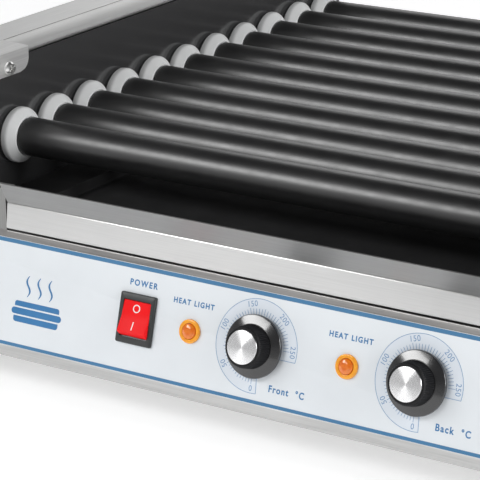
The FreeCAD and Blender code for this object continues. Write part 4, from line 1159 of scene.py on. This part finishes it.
def pan_head(build, place, radius, height):
    """Pan-head screw with a cross recess; local Z points away from the sheet."""
    crown = 0.74 * radius
    recess = 0.7 * radius
    slot = 0.17 * radius
    floor = 0.15 * height
    narrow = 0.6
    profile = rounded([(0.0, radius), (height * 0.45, radius, 0.3 * MM),
                       (height, crown, radius * 0.4)], closed=False, steps=5)
    profile += [(height, recess), (floor, recess * narrow), (floor, 0.0)]

    def crossed(reach, turn, along):
        """Radius at an angle: round outside the recess, a cross inside it."""
        if reach > recess:
            return reach
        aside = abs((turn + math.pi / 4) % (math.pi / 2) - math.pi / 4)
        return reach * min(1, slot / recess / max(math.sin(aside), 1e-6))

    turned(build, profile, place, 48, radius_at=crossed)


def make_screws():
    """Cross-head screws of the tabs and of the sides of the cheeks."""
    build = bmesh.new()
    for _, side in SIDES:
        tab = along_x(FASCIA + TAB_SCREW[0], WALL_TOP + TAB_SCREW[1], -side)
        twist = Matrix.Rotation(math.radians(28), 4, "Z")
        pan_head(build, tab @ Matrix.Translation((0, 0, -TAB_X)) @ twist, *TAB_HEAD)
        for order, depth in enumerate(SCREW_ROWS):
            outer = along_x(depth, CASING_LOW + SCREW_HEIGHT, side)
            twist = Matrix.Rotation(math.radians(17 + 31 * order), 4, "Z")
            pan_head(build, outer @ Matrix.Translation((0, 0, HALF_WIDTH)) @ twist, *SIDE_HEAD)
    make_piece("casing_screw_heads", build, "casing", bright_steel,
               ("case_screws",), smooth=30)


def make_feet():
    """Tapered rubber feet with a grooved rim."""
    (low_x, high_x), (low_y, high_y) = span("feet", X), span("feet", Y)
    radius = 16 * MM
    profile = rounded([*mm((0, 0.0), (0, 13, 1), (3, 15, 1), (9, 15.6, 0.5), (10, 14.8, 0.4),
                           (11, 15.8, 0.5)),
                       (CASING_LOW, radius, 0.5 * MM), (CASING_LOW, 0.0)], closed=False, steps=4)
    build = bmesh.new()
    for across in (low_x + radius, high_x - radius):
        for depth in (low_y + radius, high_y - radius):
            turned(build, profile, Matrix.Translation((across, depth, 0)), 64)
    make_piece("rubber_feet", build, "casing", foot_rubber, ("feet",))


# ---- CAD nodes that keep their shape

KEPT = {
    "base_pan": pan_steel, "rear_panel": steel_x, "cable_gland": black_plastic,
    "terminal_block": pale_plastic, "heating_elements": rod_steel, "drive_chain": dull_steel,
    "gear_motor": motor_paint, "motor_shaft": dull_steel, "motor_sprocket": dull_steel,
    "thermostats": black_plastic, "tray_rails": tray_enamel, "left_inner_wall": black_enamel,
    "right_inner_wall": black_enamel, "left_rod_bracket": pan_steel, "right_rod_bracket": pan_steel,
    "front_thermostat_shaft": dull_steel, "back_thermostat_shaft": dull_steel,
}


def dress_kept_nodes():
    surfaces = dict(KEPT)
    for number in range(1, ROLLER_COUNT + 1):
        surfaces[f"sprocket_{number:02d}"] = dull_steel
    for node, surface in surfaces.items():
        materials = frame["nodes"][node].data.materials
        for slot in range(len(materials)):
            materials[slot] = surface


# ---- build

make_camera()
light_scene()
make_floor()
dress_kept_nodes()
for side_name, side_mark in SIDES:
    make_cover(side_name, side_mark)
    make_front_cap(side_name, side_mark)
    make_tab(side_name, side_mark)
    make_rear_cap(side_name, side_mark)
    make_bush_row(side_name, side_mark)
make_control_sheet()
make_overlay()
for dial_name, dial_x in DIALS.items():
    make_dial_print(dial_name, dial_x)
    make_knob(dial_name, dial_x)
make_labels()
make_emblem()
make_switch()
make_rocker()
make_lamps()
make_tray_lip()
make_tray_flange()
make_tray_pan()
for roller in range(1, ROLLER_COUNT + 1):
    make_roller(roller)
make_screws()
make_feet()
